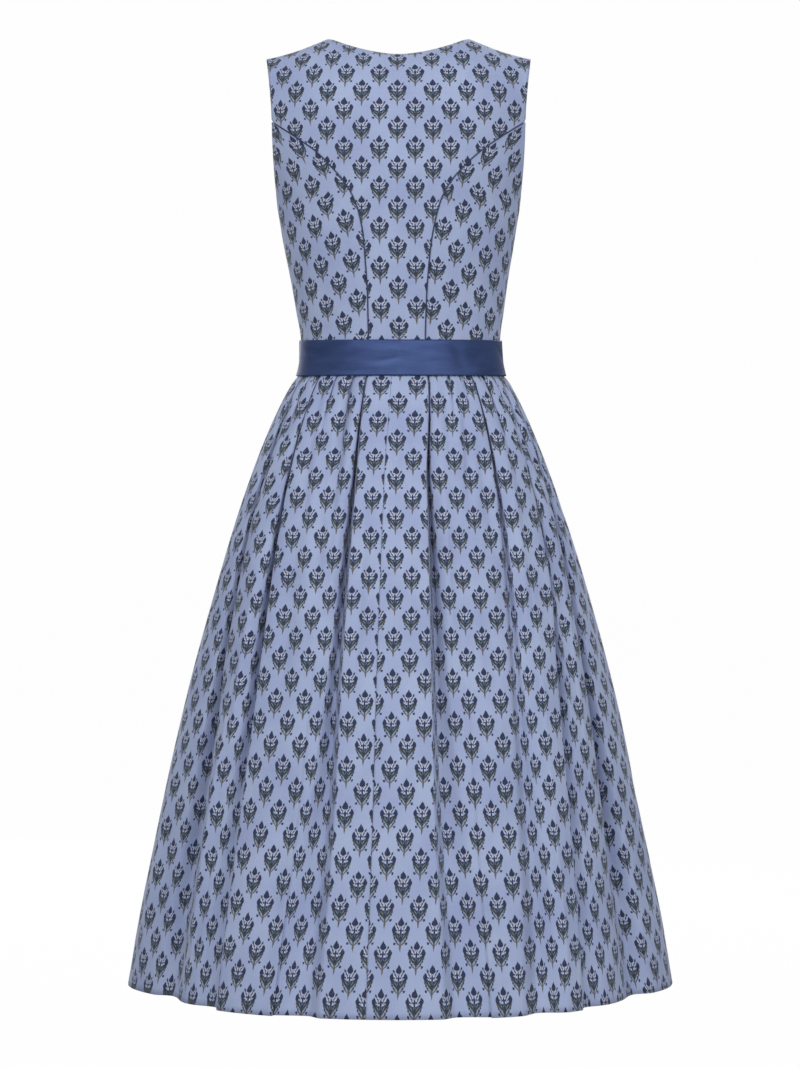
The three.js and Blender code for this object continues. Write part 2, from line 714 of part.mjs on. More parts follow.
function piping(key) {
  const side = isRight(BACK, key) ? 1 : -1;
  const surface = (share, height) => bodicePoint(BACK, share, height);
  const path = [...BODICE_ROWS.slice(0, -1), BAND_TOP_Z + SEAM_GAP].map((height) => {
    const share = side * princessShare(BACK, key, height);
    const normal = normalAt(surface, share, height, BODICE_NORMAL_STEPS);
    const point = surface(share, height).addScaledVector(normal, PIPING_RADIUS + PIPING_LIFT);
    return { point, normal };
  });
  return cordGeometry(path, PIPING_RADIUS);
}

// The band lies on the bodice and the skirt, a seam's gap outside them
function waistBand() {
  const rows = [BAND_TOP_Z, WAIST_SEAM_Z, BAND_BOTTOM_Z].map((z) =>
    Array.from({ length: BAND_COLUMNS }, (_, j) => {
      const degrees = (360 * j) / BAND_COLUMNS;
      const normal = skirtOutward(degrees, z);
      const point = skirtFormPoint(degrees, z).addScaledVector(normal, SEAM_GAP + SATIN);
      return { point, normal };
    }),
  );
  return wallGeometry(rows, SATIN, true);
}

// Colours as worn cloth shows them
const print = new THREE.MeshStandardMaterial({ color: 0x9aa7cf, roughness: 0.75, metalness: 0 });
const satin = new THREE.MeshStandardMaterial({ color: 0x2f4580, roughness: 0.38, metalness: 0 });
const cord = new THREE.MeshStandardMaterial({ color: 0x26345f, roughness: 0.6, metalness: 0 });

const dress = new THREE.Group();

function add(name, geometry, material) {
  const mesh = new THREE.Mesh(geometry, material);
  mesh.name = name;
  dress.add(mesh);
}

const leftSeam = foldCuts[foldNumber("back-left-outer")] + SIDE_SEAM_SHIFT;
const rightSeam = foldCuts[foldNumber("back-right-outer")] - SIDE_SEAM_SHIFT;
const middleLobe = foldNumber("front-right-inner");
const [rightOfMiddle, leftOfMiddle] = pleatCuts[middleLobe];
const frontSeam = foldCuts[middleLobe] + (rightOfMiddle + leftOfMiddle) / 2;

add("bodice_back_centre", backCentre(), print);
for (const key of ["left", "right"]) {
  add(`bodice_back_side_${key}`, sidePanel(BACK, key), print);
  add(`bodice_front_centre_${key}`, frontCentre(key), print);
  add(`bodice_front_side_${key}`, sidePanel(FRONT, key), print);
  add(`back_piping_${key}`, piping(key), cord);
}
add("waist_band", waistBand(), satin);
add("skirt_back_left", skirtPanel(leftSeam, SKIRT_CUT + CENTRE_BACK_SEAM), print);
add("skirt_back_right", skirtPanel(CENTRE_BACK_SEAM, rightSeam), print);
add("skirt_front_right", skirtPanel(rightSeam, frontSeam), print);
add("skirt_front_left", skirtPanel(frontSeam, leftSeam), print);

export default dress;
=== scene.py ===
# %% [markdown]
# # A dirndl, seen from behind
#
# This lesson dresses a sleeveless dirndl: a fitted bodice of printed cotton, a navy satin
# band and a pleated skirt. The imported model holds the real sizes, so it is loaded first and
# every piece is made to lie where its solid lies. Everything is in metres, +Z is up, the
# front faces -Y and the origin is midway between the shoulders.

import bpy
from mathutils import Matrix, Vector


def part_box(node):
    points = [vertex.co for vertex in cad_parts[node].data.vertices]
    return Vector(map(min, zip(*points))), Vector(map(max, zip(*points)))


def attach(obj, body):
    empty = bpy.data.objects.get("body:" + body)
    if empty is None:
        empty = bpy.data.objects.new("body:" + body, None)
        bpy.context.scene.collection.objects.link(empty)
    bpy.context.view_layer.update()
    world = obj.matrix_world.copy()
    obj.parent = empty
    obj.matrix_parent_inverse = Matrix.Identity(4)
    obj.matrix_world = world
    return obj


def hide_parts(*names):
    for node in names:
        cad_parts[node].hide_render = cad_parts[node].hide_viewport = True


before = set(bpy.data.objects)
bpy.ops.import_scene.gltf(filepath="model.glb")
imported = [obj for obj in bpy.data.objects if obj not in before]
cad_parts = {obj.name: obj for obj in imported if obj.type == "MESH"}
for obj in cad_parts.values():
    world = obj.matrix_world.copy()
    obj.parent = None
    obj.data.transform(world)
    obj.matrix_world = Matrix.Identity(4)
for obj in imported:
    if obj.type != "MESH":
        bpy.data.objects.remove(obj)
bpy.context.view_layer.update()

# %% Modules
import bisect
import math

import bmesh
import bpy
from mathutils import Vector

scene = bpy.context.scene

# %% [markdown]
# ## The camera
#
# The photograph was taken from behind, level with the waist and about five metres away, so
# the sides of the skirt curve away only a little. The camera comes first, because every later
# choice is judged through it.

# %% Place the camera
CAMERA_PLACE = Vector((0, 5.044, -0.455))
CAMERA_AIM = Vector((0, 0, -0.6286))
SENSOR = 36
FRAME_HEIGHT = 1.387
camera_data = bpy.data.cameras.new("camera")
camera = bpy.data.objects.new("camera", camera_data)
scene.collection.objects.link(camera)
camera.location = CAMERA_PLACE
camera.rotation_euler = (CAMERA_AIM - CAMERA_PLACE).to_track_quat("-Z", "Y").to_euler()
camera_data.sensor_width = SENSOR
camera_data.lens = SENSOR * (CAMERA_AIM - CAMERA_PLACE).length / FRAME_HEIGHT
scene.camera = camera
print("lens", round(camera_data.lens, 1), "mm")

# %% [markdown]
# ## The room
#
# A plain pale floor and soft light, as a studio has for clothes on white. Most of the light
# comes from the bright air on all sides, so the depth of each fold is dark only because its
# own walls hide the air from it. Two large lamps stand left and right of the camera, and two
# more before the dress. They model the folds, and being large they draw no hard edges.

# %% Floor
FLOOR_Z = -1.36
FLOOR_RADIUS = 14
FLOOR_GLOW = 0.975
FLOOR_GREY = (0.35, 0.35, 0.35, 1)
floor_shape = bmesh.new()
bmesh.ops.create_circle(floor_shape, cap_ends=True, segments=96, radius=FLOOR_RADIUS)
bmesh.ops.translate(floor_shape, verts=floor_shape.verts, vec=(0, 0, FLOOR_Z))
floor_mesh = bpy.data.meshes.new("studio_floor")
floor_shape.to_mesh(floor_mesh)
floor_shape.free()
studio_floor = bpy.data.objects.new("studio_floor", floor_mesh)
scene.collection.objects.link(studio_floor)
paper = bpy.data.materials.new("studio_paper")
paper.use_nodes = True
paper_nodes = paper.node_tree
bright = paper_nodes.nodes["Principled BSDF"]
bright.inputs["Base Color"].default_value = (0.02, 0.02, 0.02, 1)
bright.inputs["Roughness"].default_value = 0.9
bright.inputs["Specular IOR Level"].default_value = 0
bright.inputs["Emission Color"].default_value = (1, 1, 1, 1)
bright.inputs["Emission Strength"].default_value = FLOOR_GLOW
dull = paper_nodes.nodes.new("ShaderNodeBsdfDiffuse")
dull.inputs["Color"].default_value = FLOOR_GREY
looked_at = paper_nodes.nodes.new("ShaderNodeLightPath")
either = paper_nodes.nodes.new("ShaderNodeMixShader")
paper_nodes.links.new(looked_at.outputs["Is Camera Ray"], either.inputs[0])
paper_nodes.links.new(dull.outputs[0], either.inputs[1])
paper_nodes.links.new(bright.outputs[0], either.inputs[2])
paper_nodes.links.new(either.outputs[0], paper_nodes.nodes["Material Output"].inputs["Surface"])
floor_mesh.materials.append(paper)
print("floor at", FLOOR_Z)

# %% Lamps
LAMPS = {
    "key": {"place": (0.9, 2.6, 0.8), "size": 1.5, "power": 31},
    "fill": {"place": (-1.2, 2.9, 0), "size": 1.8, "power": 28},
}
LAMP_AIM = Vector((0, 0, -0.15))


def add_lamp(name, place, size, power):
    lamp_data = bpy.data.lights.new(name, "AREA")
    lamp_data.shape = "SQUARE"
    lamp_data.size = size
    lamp_data.energy = power
    lamp = bpy.data.objects.new(name, lamp_data)
    scene.collection.objects.link(lamp)
    lamp.location = place
    lamp.rotation_euler = (LAMP_AIM - Vector(place)).to_track_quat("-Z", "Y").to_euler()


for lamp_name, facts in LAMPS.items():
    add_lamp(lamp_name, **facts)
for lamp_name, facts in LAMPS.items():
    x, y, z = facts["place"]
    add_lamp("front_" + lamp_name, (-x, -y, z), facts["size"], facts["power"])
print("lamps:", 2 * len(LAMPS))

# %% The air: white to look at, and a little light from every side
AIR_LIGHT = 0.56
AIR_TINT = (0.9, 0.955, 1, 1)
world = bpy.data.worlds.new("studio_air")
world.use_nodes = True
air = world.node_tree
white = air.nodes["Background"]
white.inputs["Color"].default_value = (1, 1, 1, 1)
white.inputs["Strength"].default_value = 0.99
dim = air.nodes.new("ShaderNodeBackground")
dim.inputs["Color"].default_value = AIR_TINT
dim.inputs["Strength"].default_value = AIR_LIGHT
seen = air.nodes.new("ShaderNodeLightPath")
both = air.nodes.new("ShaderNodeMixShader")
air.links.new(seen.outputs["Is Camera Ray"], both.inputs[0])
air.links.new(dim.outputs[0], both.inputs[1])
air.links.new(white.outputs[0], both.inputs[2])
air.links.new(both.outputs[0], air.nodes["World Output"].inputs["Surface"])
scene.world = world
scene.view_settings.view_transform = "Standard"
print("air light:", AIR_LIGHT)

# %% [markdown]
# ## Tables and smooth columns
#
# A pattern cutter keeps sizes in a table and draws a smooth line through them. The tables
# here do the same: each has a name for each column and a row for each height or fold, and
# `smooth` draws the line between the rows without overshooting them.


# %% Helpers for tables
def table(names, *rows):
    return [dict(zip(names, row)) for row in rows]


def smooth(rows, key, at="z"):
    pairs = sorted((row[at], row[key]) for row in rows)
    x = [pair[0] for pair in pairs]
    y = [pair[1] for pair in pairs]
    steps = [b - a for a, b in zip(x, x[1:])]
    slopes = [(b - a) / step for a, b, step in zip(y, y[1:], steps)]
    tangents = [slopes[0]]
    for before, after in zip(slopes, slopes[1:]):
        product = before * after
        tangents.append(0 if product <= 0 else 2 * product / (before + after))
    tangents.append(slopes[-1])

    def value(place):
        v = min(max(place, x[0]), x[-1])
        i = 0
        while i < len(steps) - 1 and v > x[i + 1]:
            i += 1
        t = (v - x[i]) / steps[i]
        rise = t * t * (3 - 2 * t)
        bend = t * (1 - t) * steps[i] * (tangents[i] * (1 - t) - tangents[i + 1] * t)
        return y[i] * (1 - rise) + y[i + 1] * rise + bend

    return value


def smoothstep(value, low, high):
    t = min(max((value - low) / (high - low), 0), 1)
    return t * t * (3 - 2 * t)


# %% [markdown]
# ## The form under the cloth
#
# The bodice is cut to a general figure. Its level sections are half ellipses, behind and in
# front, and each row of the table gives their half widths at the armhole or side seam, the
# angle that they reach, and how deep they are. The top edge is a curve from the middle of
# the neck over the neck point to the shoulder tip.

# %% Heights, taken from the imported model
BAND_LOW, BAND_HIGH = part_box("waist_band")
BAND_TOP_Z = BAND_HIGH.z
BAND_BOTTOM_Z = BAND_LOW.z
WAIST_SEAM_Z = (BAND_TOP_Z + BAND_BOTTOM_Z) / 2
HEM_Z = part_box("skirt_front_left")[0].z
PRINCESS_TOP_Z = -0.098
YOKE_Z = -0.093
YOKE_STEP = 0.001
print("band", BAND_BOTTOM_Z, "to", BAND_TOP_Z, "hem", HEM_Z)

# %% Neck, shoulders and sections
NECK_HALF = 0.09
SHOULDER_HALF = 0.171
NECK_POINT = {"y": 0.006, "z": 0.0124}
NECK_ROUND = {"drop": 0.0008, "spread": 0.03}
SHOULDER_TIP = {"y": 0, "z": -0.0143}
BACK_NECK = {"y": 0.058, "z": -0.0126, "curve_y": 2.2, "curve_z": 1.8, "lean": 55}
FRONT_NECK = {"y": -0.087, "z": -0.08, "curve_y": 3, "curve_z": 2.6, "lean": 30}
SHOULDER_LEAN = 88
SHOULDER_HANG = 0.012
NECK_SHARE = 6 / 11
BUST = {"out": 0.015, "x": 0.086, "z": -0.238, "spread_x": 0.04, "spread_z": 0.046}

FORM = table(
    ("z", "back_edge", "front_edge", "back_angle", "front_angle", "side_y", "back_y", "front_y"),
    (-0.093, 0.1632, 0.148, 64.5, 61.4, 0, 0.105, -0.089),
    (-0.124, 0.1623, 0.1495, 66.9, 63.4, 0, 0.1075, -0.1),
    (-0.152, 0.161, 0.1525, 70.3, 67.1, -0.002, 0.1085, -0.11),
    (-0.178, 0.1592, 0.157, 76.2, 75, -0.003, 0.108, -0.119),
    (-0.19, 0.1582, 0.1579, 80.7, 80.7, -0.0035, 0.1076, -0.123),
    (-0.197, 0.1578, 0.1578, 84.7, 84.9, -0.0038, 0.1072, -0.125),
    (-0.2, 0.1577, 0.1577, 90, 90, -0.004, 0.107, -0.126),
    (-0.23, 0.1533, 0.1533, 90, 90, -0.005, 0.105, -0.129),
    (-0.26, 0.1484, 0.1484, 90, 90, -0.006, 0.102, -0.127),
    (-0.3, 0.141, 0.141, 90, 90, -0.007, 0.097, -0.12),
    (-0.34, 0.1349, 0.1349, 90, 90, -0.008, 0.092, -0.113),
    (-0.378, 0.1296, 0.1296, 90, 90, -0.008, 0.088, -0.1095),
    (-0.401, 0.1306, 0.1306, 90, 90, -0.008, 0.0895, -0.111),
)
SWAY = table(
    ("z", "x"),
    (0.014, 0.0018),
    (-0.23, 0.0018),
    (-0.34, 0),
    (-0.424, -0.0014),
    (-0.564, -0.0009),
    (-0.824, 0.001),
    (-1.2155, 0.0004),
)
BACK_PRINCESS = table(
    ("z", "left", "right"),
    (-0.098, 0.163, 0.163),
    (-0.12, 0.1307, 0.1294),
    (-0.138, 0.106, 0.1047),
    (-0.16, 0.0842, 0.0809),
    (-0.178, 0.0688, 0.0659),
    (-0.198, 0.0573, 0.0549),
    (-0.215, 0.051, 0.0494),
    (-0.248, 0.0446, 0.0424),
    (-0.28, 0.0426, 0.0381),
    (-0.322, 0.0408, 0.0342),
    (-0.401, 0.0408, 0.0302),
)
FRONT_PRINCESS = table(
    ("z", "left", "right"),
    (-0.098, 0.146, 0.146),
    (-0.124, 0.125, 0.125),
    (-0.16, 0.106, 0.106),
    (-0.2, 0.092, 0.092),
    (-0.24, 0.084, 0.084),
    (-0.29, 0.072, 0.072),
    (-0.345, 0.058, 0.058),
    (-0.401, 0.05, 0.05),
)
form = {key: smooth(FORM, key) for key in FORM[0] if key != "z"}
sway = smooth(SWAY, "x")
BACK = {
    "sign": -1,
    "edge": form["back_edge"],
    "angle": form["back_angle"],
    "centre": form["back_y"],
    "neck": BACK_NECK,
    "princess": {key: smooth(BACK_PRINCESS, key) for key in ("left", "right")},
}
FRONT = {
    "sign": 1,
    "edge": form["front_edge"],
    "angle": form["front_angle"],
    "centre": form["front_y"],
    "neck": FRONT_NECK,
    "princess": {key: smooth(FRONT_PRINCESS, key) for key in ("left", "right")},
}
print("bodice rows:", len(FORM))


# %% Points of the bodice
def bust_out(x, z):
    across = (abs(x) - BUST["x"]) / BUST["spread_x"]
    along = (z - BUST["z"]) / BUST["spread_z"]
    return BUST["out"] * math.exp(-(across * across + along * along) / 2)


def level_point(half, share, z):
    edge_angle = math.radians(half["angle"](z))
    width = half["edge"](z) / math.sin(edge_angle)
    angle = share * edge_angle
    side = form["side_y"](z)
    x = half["sign"] * width * math.sin(angle)
    bust = bust_out(x, z) * math.cos(angle) if half["sign"] > 0 else 0
    y = side + (half["centre"](z) - side) * math.cos(angle) - bust
    return Vector((sway(z) + x, y, z))


def top_edge(half, share):
    along = abs(share)
    side = half["sign"] * math.copysign(1, share)
    neck = half["neck"]
    off = (along - NECK_SHARE) / NECK_ROUND["spread"]
    rounding = NECK_ROUND["drop"] * math.exp(-off * off)
    if along <= NECK_SHARE:
        t = along / NECK_SHARE
        y = neck["y"] + (NECK_POINT["y"] - neck["y"]) * t ** neck["curve_y"]
        z = neck["z"] + (NECK_POINT["z"] - neck["z"]) * t ** neck["curve_z"] - rounding
        return Vector((sway(0) + side * NECK_HALF * t, y, z))
    t = (along - NECK_SHARE) / (1 - NECK_SHARE)
    x = NECK_HALF + (SHOULDER_HALF - NECK_HALF) * t
    y = NECK_POINT["y"] + (SHOULDER_TIP["y"] - NECK_POINT["y"]) * t
    z = NECK_POINT["z"] + (SHOULDER_TIP["z"] - NECK_POINT["z"]) * t
    z = z - SHOULDER_HANG * t * (1 - t) - rounding
    return Vector((sway(0) + side * x, y, z))


def bodice_point(half, share, height):
    if height <= YOKE_Z:
        return level_point(half, share, height)
    rise = 1 - height / YOKE_Z
    low = level_point(half, share, YOKE_Z)
    below = (low - level_point(half, share, YOKE_Z - YOKE_STEP)) * (1 / YOKE_STEP)
    high = top_edge(half, share)
    to_shoulder = smoothstep(abs(share), 0, NECK_SHARE)
    neck_lean = half["neck"]["lean"]
    lean = math.radians(neck_lean + (SHOULDER_LEAN - neck_lean) * to_shoulder)
    up = math.sin(rise * lean) / math.sin(lean)
    over = (1 - math.cos(rise * lean)) / (1 - math.cos(lean))
    start = lean / math.sin(lean) * rise * (1 - rise) ** 2
    across = high - low
    return Vector((
        low.x + across.x * (up - start) + below.x * across.z * start,
        low.y + across.y * over + below.y * across.z * start,
        low.z + across.z * up,
    ))


def princess_share(half, key, height):
    if height >= PRINCESS_TOP_Z:
        return 1
    edge_angle = math.radians(half["angle"](height))
    width = half["edge"](height) / math.sin(edge_angle)
    sine = min(half["princess"][key](height) / width, 1)
    return min(math.asin(sine) / edge_angle, 1)


print("back of the neck at", [round(c, 4) for c in top_edge(BACK, 0)])

# %% [markdown]
# ## The form of the skirt
#
# The skirt is a rectangle of cloth, much wider than the waist. At every height its section
# has the same length of cloth, and what the form does not need lies in the folds. So the
# print runs straight down each panel, and the folds swallow some of it near the waist and
# give it back at the hem, as on the real skirt.

# %% Sections, folds and pleats
SKIRT_FORM = table(
    ("z", "half", "side_y", "back_y", "front_y"),
    (-0.378, 0.1296, -0.008, 0.088, -0.1095),
    (-0.401, 0.1306, -0.008, 0.0895, -0.111),
    (-0.424, 0.1347, -0.008, 0.091, -0.1125),
    (-0.431, 0.1404, -0.008, 0.095, -0.1155),
    (-0.438, 0.1448, -0.0075, 0.099, -0.118),
    (-0.46, 0.1568, -0.007, 0.109, -0.126),
    (-0.512, 0.1801, -0.005, 0.131, -0.144),
    (-0.564, 0.1989, -0.003, 0.149, -0.159),
    (-0.616, 0.2159, -0.001, 0.166, -0.173),
    (-0.72, 0.246, 0, 0.196, -0.199),
    (-0.824, 0.2746, 0, 0.222, -0.224),
    (-0.928, 0.3002, 0, 0.245, -0.248),
    (-1.032, 0.3231, 0, 0.267, -0.27),
    (-1.136, 0.3445, 0, 0.288, -0.29),
    (-1.2155, 0.3575, 0, 0.303, -0.304),
)
SIDE_HOLLOW = {"angle": 28, "spread": 17, "back": 0.026, "front": 0.016, "top": -0.56}

FOLDS = table(
    ("name", "waist", "hip", "knee", "hem", "depth", "half", "lean", "share", "open"),
    ("back-left-inner", -18.4, -16.8, -16.3, -18.6, 0.012, 0.045, -0.6, 0.39, 1),
    ("back-right-inner", 14.4, 9.8, 9.5, 11.4, 0.015, 0.045, 0.6, 0.42, 1.2),
    ("back-right-middle", 41.4, 38, 31.5, 28.8, 0.022, 0.034, 0.3, 0.62, 1.2),
    ("back-right-outer", 60, 58.5, 48, 42.4, 0.027, 0.033, 0.6, 0.5, 1.4),
    ("right-side", 78, 75, 69, 67, 0.017, 0.042, -0.2, 0.5, 1),
    ("right-side-front", 102, 101, 101, 101, 0.011, 0.045, 0.3, 0.5, 1),
    ("front-right-outer", 124, 122, 121, 121, 0.021, 0.04, 0, 0.45, 1.3),
    ("front-right-middle", 146, 145, 143, 143, 0.014, 0.042, -0.3, 0.5, 1),
    ("front-right-inner", 168, 168, 167, 166, 0.018, 0.044, 0.4, 0.55, 1.3),
    ("front-left-inner", 192, 193, 193, 192, 0.012, 0.046, -0.4, 0.5, 1),
    ("front-left-middle", 215, 216, 216, 216, 0.019, 0.04, 0.2, 0.5, 1.3),
    ("front-left-outer", 237, 237, 238, 238, 0.013, 0.044, -0.3, 0.5, 1.2),
    ("left-side-front", 259, 259, 260, 260, 0.016, 0.044, 0.3, 0.5, 1),
    ("left-side", 289, 292, 296, 296, 0.019, 0.04, 0.2, 0.42, 1),
    ("back-left-outer", 310, 313, 318, 317.5, 0.031, 0.035, -0.6, 0.58, 1.15),
)
FOLD_HEIGHTS = {"waist": -0.424, "hip": -0.564, "knee": -0.9, "hem": HEM_Z}

PLEATS = table(
    ("after", "at", "taken", "end"),
    ("back-right-inner", 0.46, 0.006, -0.53),
    ("back-right-inner", 0.78, 0.005, -0.505),
    ("back-right-middle", 0.5, 0.008, -0.575),
    ("back-right-outer", 0.5, 0.008, -0.6),
    ("right-side", 0.48, 0.01, -0.57),
    ("right-side-front", 0.52, 0.009, -0.62),
    ("front-right-outer", 0.5, 0.008, -0.59),
    ("front-right-middle", 0.47, 0.01, -0.56),
    ("front-right-inner", 0.35, 0.008, -0.61),
    ("front-right-inner", 0.66, 0.008, -0.56),
    ("front-left-inner", 0.5, 0.008, -0.6),
    ("front-left-middle", 0.53, 0.009, -0.57),
    ("front-left-outer", 0.5, 0.008, -0.61),
    ("left-side-front", 0.5, 0.009, -0.58),
    ("left-side", 0.5, 0.007, -0.56),
    ("back-left-outer", 0.38, 0.007, -0.54),
    ("back-left-outer", 0.73, 0.008, -0.61),
)
PLEAT_HALF = 0.002
PLEAT_ROLL = 0.6

GROOVE = table(
    ("z", "half", "deepest", "roll", "roll_width"),
    (-0.401, 0.0014, 0.0055, 0.001, 0.004),
    (-0.424, 0.0016, 0.007, 0.0015, 0.005),
    (-0.46, 0.0014, 0.013, 0.0025, 0.006),
    (-0.52, 0.0023, 0.028, 0.0035, 0.008),
    (-0.62, 0.0046, 0.046, 0.005, 0.011),
    (-0.76, 0.0088, 0.064, 0.006, 0.015),
    (-0.9, 0.0155, 0.064, 0.0055, 0.018),
    (-1.06, 0.028, 0.05, 0.0035, 0.02),
    (-1.2155, 0.042, 0.018, 0.0012, 0.02),
)
OWN_WIDTH_Z = -0.6
WIDER_Z = -0.72
WIDER_SPREAD = 0.17
CENTRE_BACK_SEAM = 0.077
SIDE_SEAM_SHIFT = 0.009
ARC_STEPS = 720

skirt_form = {key: smooth(SKIRT_FORM, key) for key in SKIRT_FORM[0] if key != "z"}
groove = {key: smooth(GROOVE, key) for key in GROOVE[0] if key != "z"}


def angle_line(fold):
    return smooth([{"z": z, "angle": fold[key]} for key, z in FOLD_HEIGHTS.items()], "angle")


fold_angles = [angle_line(fold) for fold in FOLDS]
print("long folds:", len(FOLDS), "short pleats:", len(PLEATS))


# %% A level section of the skirt
def section(z):
    half = skirt_form["half"](z)
    side = skirt_form["side_y"](z)
    behind = skirt_form["back_y"](z) - side
    before = side - skirt_form["front_y"](z)
    middle = sway(z)
    fall = smoothstep(SIDE_HOLLOW["top"] - z, 0, SIDE_HOLLOW["top"] - HEM_Z)

    def point(degrees):
        angle = math.radians(degrees)
        cosine = math.cos(angle)
        reach, hollow = (behind, "back") if cosine > 0 else (before, "front")
        to_side = abs(abs((degrees + 180) % 360 - 180) - 90)
        off = (to_side - SIDE_HOLLOW["angle"]) / SIDE_HOLLOW["spread"]
        shrink = 1 - SIDE_HOLLOW[hollow] * fall * math.exp(-off * off) / half
        x = middle - half * math.sin(angle) * shrink
        return Vector((x, side + reach * cosine * shrink, z))

    return point


class Arcs:
    """Lengths round one level section, from its angle, and angles from the length."""

    def __init__(self, z):
        self.point = section(z)
        ring = [self.point(360 * i / ARC_STEPS) for i in range(ARC_STEPS + 1)]
        self.lengths = [0]
        for a, b in zip(ring, ring[1:]):
            self.lengths.append(self.lengths[-1] + (b - a).length)
        self.around = self.lengths[-1]

    def length_at(self, degrees):
        turns = math.floor(degrees / 360)
        place = (degrees - turns * 360) / 360 * ARC_STEPS
        i = min(int(place), ARC_STEPS - 1)
        a, b = self.lengths[i], self.lengths[i + 1]
        return turns * self.around + a + (b - a) * (place - i)

    def degrees_at(self, length):
        turns = math.floor(length / self.around)
        rest = length - turns * self.around
        i = bisect.bisect_right(self.lengths, rest) - 1
        i = min(i, ARC_STEPS - 1)
        a, b = self.lengths[i], self.lengths[i + 1]
        return turns * 360 + 360 * (i + (rest - a) / (b - a)) / ARC_STEPS


# %% How each fold and pleat takes in the cloth
def groove_halves(i, z):
    wide_open = smoothstep(-z, -OWN_WIDTH_Z, -HEM_Z)
    widest = groove["half"](HEM_Z)
    wide = groove["half"](z) * (1 + (FOLDS[i]["half"] / widest - 1) * wide_open)
    off = (z - WIDER_Z) / WIDER_SPREAD
    wide *= 1 + (FOLDS[i]["open"] - 1) * math.exp(-off * off)
    lean = FOLDS[i]["lean"]
    return wide * (1 - lean), wide * (1 + lean)


def fold_length(arcs, i, z):
    if i < len(FOLDS):
        return arcs.length_at(fold_angles[i](z))
    return arcs.length_at(fold_angles[0](z) + 360)


def lobe_cut(i):
    following = (i + 1) % len(FOLDS)
    chord = fold_length(hem_arcs, i + 1, HEM_Z) - fold_length(hem_arcs, i, HEM_Z)
    start = groove_halves(i, HEM_Z)[1]
    end = groove_halves(following, HEM_Z)[0]
    slack = math.hypot(start, FOLDS[i]["depth"]) - start
    slack += math.hypot(end, FOLDS[following]["depth"]) - end
    return chord + slack


hem_arcs = Arcs(HEM_Z)
lobe_cuts = [lobe_cut(i) for i in range(len(FOLDS))]
fold_cuts = [sum(lobe_cuts[:i]) for i in range(len(FOLDS))]
SKIRT_CUT = sum(lobe_cuts)
pleats_after = [[p for p in PLEATS if p["after"] == fold["name"]] for fold in FOLDS]
fold_number = {fold["name"]: i for i, fold in enumerate(FOLDS)}
print("cloth round the skirt:", round(SKIRT_CUT, 3), "m")


# %% Depths and places at one height
def soft_limit(value, most):
    return most * math.tanh(value / most)


def wall_reach(half, extra):
    return math.sqrt((half + extra) ** 2 - half**2)


def pleat_sizes(pleat, z):
    half = min(groove["half"](z), PLEAT_HALF)
    extra = pleat["taken"] * (1 - smoothstep(-z, -FOLD_HEIGHTS["waist"], -pleat["end"]))
    depth = soft_limit(wall_reach(half, extra), groove["deepest"](z))
    return {"half": half, "extra": extra, "depth": depth}


def lobe(arcs, i, z):
    start = fold_length(arcs, i, z)
    chord = fold_length(arcs, i + 1, z) - start
    pleats = [pleat_sizes(pleat, z) for pleat in pleats_after[i]]
    in_pleats = sum(2 * pleat["extra"] for pleat in pleats)
    spare = max(lobe_cuts[i] - chord - in_pleats, 0)
    left = spare * FOLDS[i]["share"]
    return {"start": start, "chord": chord, "pleats": pleats, "left": left, "right": spare - left}


def pleat_places(i):
    z = FOLD_HEIGHTS["waist"]
    at_waist = lobe(waist_arcs, i, z)
    cuts = []
    before = 0
    for pleat, sizes in zip(pleats_after[i], at_waist["pleats"]):
        cuts.append(at_waist["chord"] * pleat["at"] + at_waist["left"] + before + sizes["extra"])
        before += 2 * sizes["extra"]
    return cuts


waist_arcs = Arcs(FOLD_HEIGHTS["waist"])
pleat_cuts = [pleat_places(i) for i in range(len(FOLDS))]


# %% [markdown]
# ## Soft creases
#
# Besides the long folds, worn cloth has shallow creases that begin and end by themselves. Each
# row gives the heights between which a crease runs, its angle at both ends, its half width
# and its height: below zero it is a trough, above zero a ridge. They fade out at both ends.

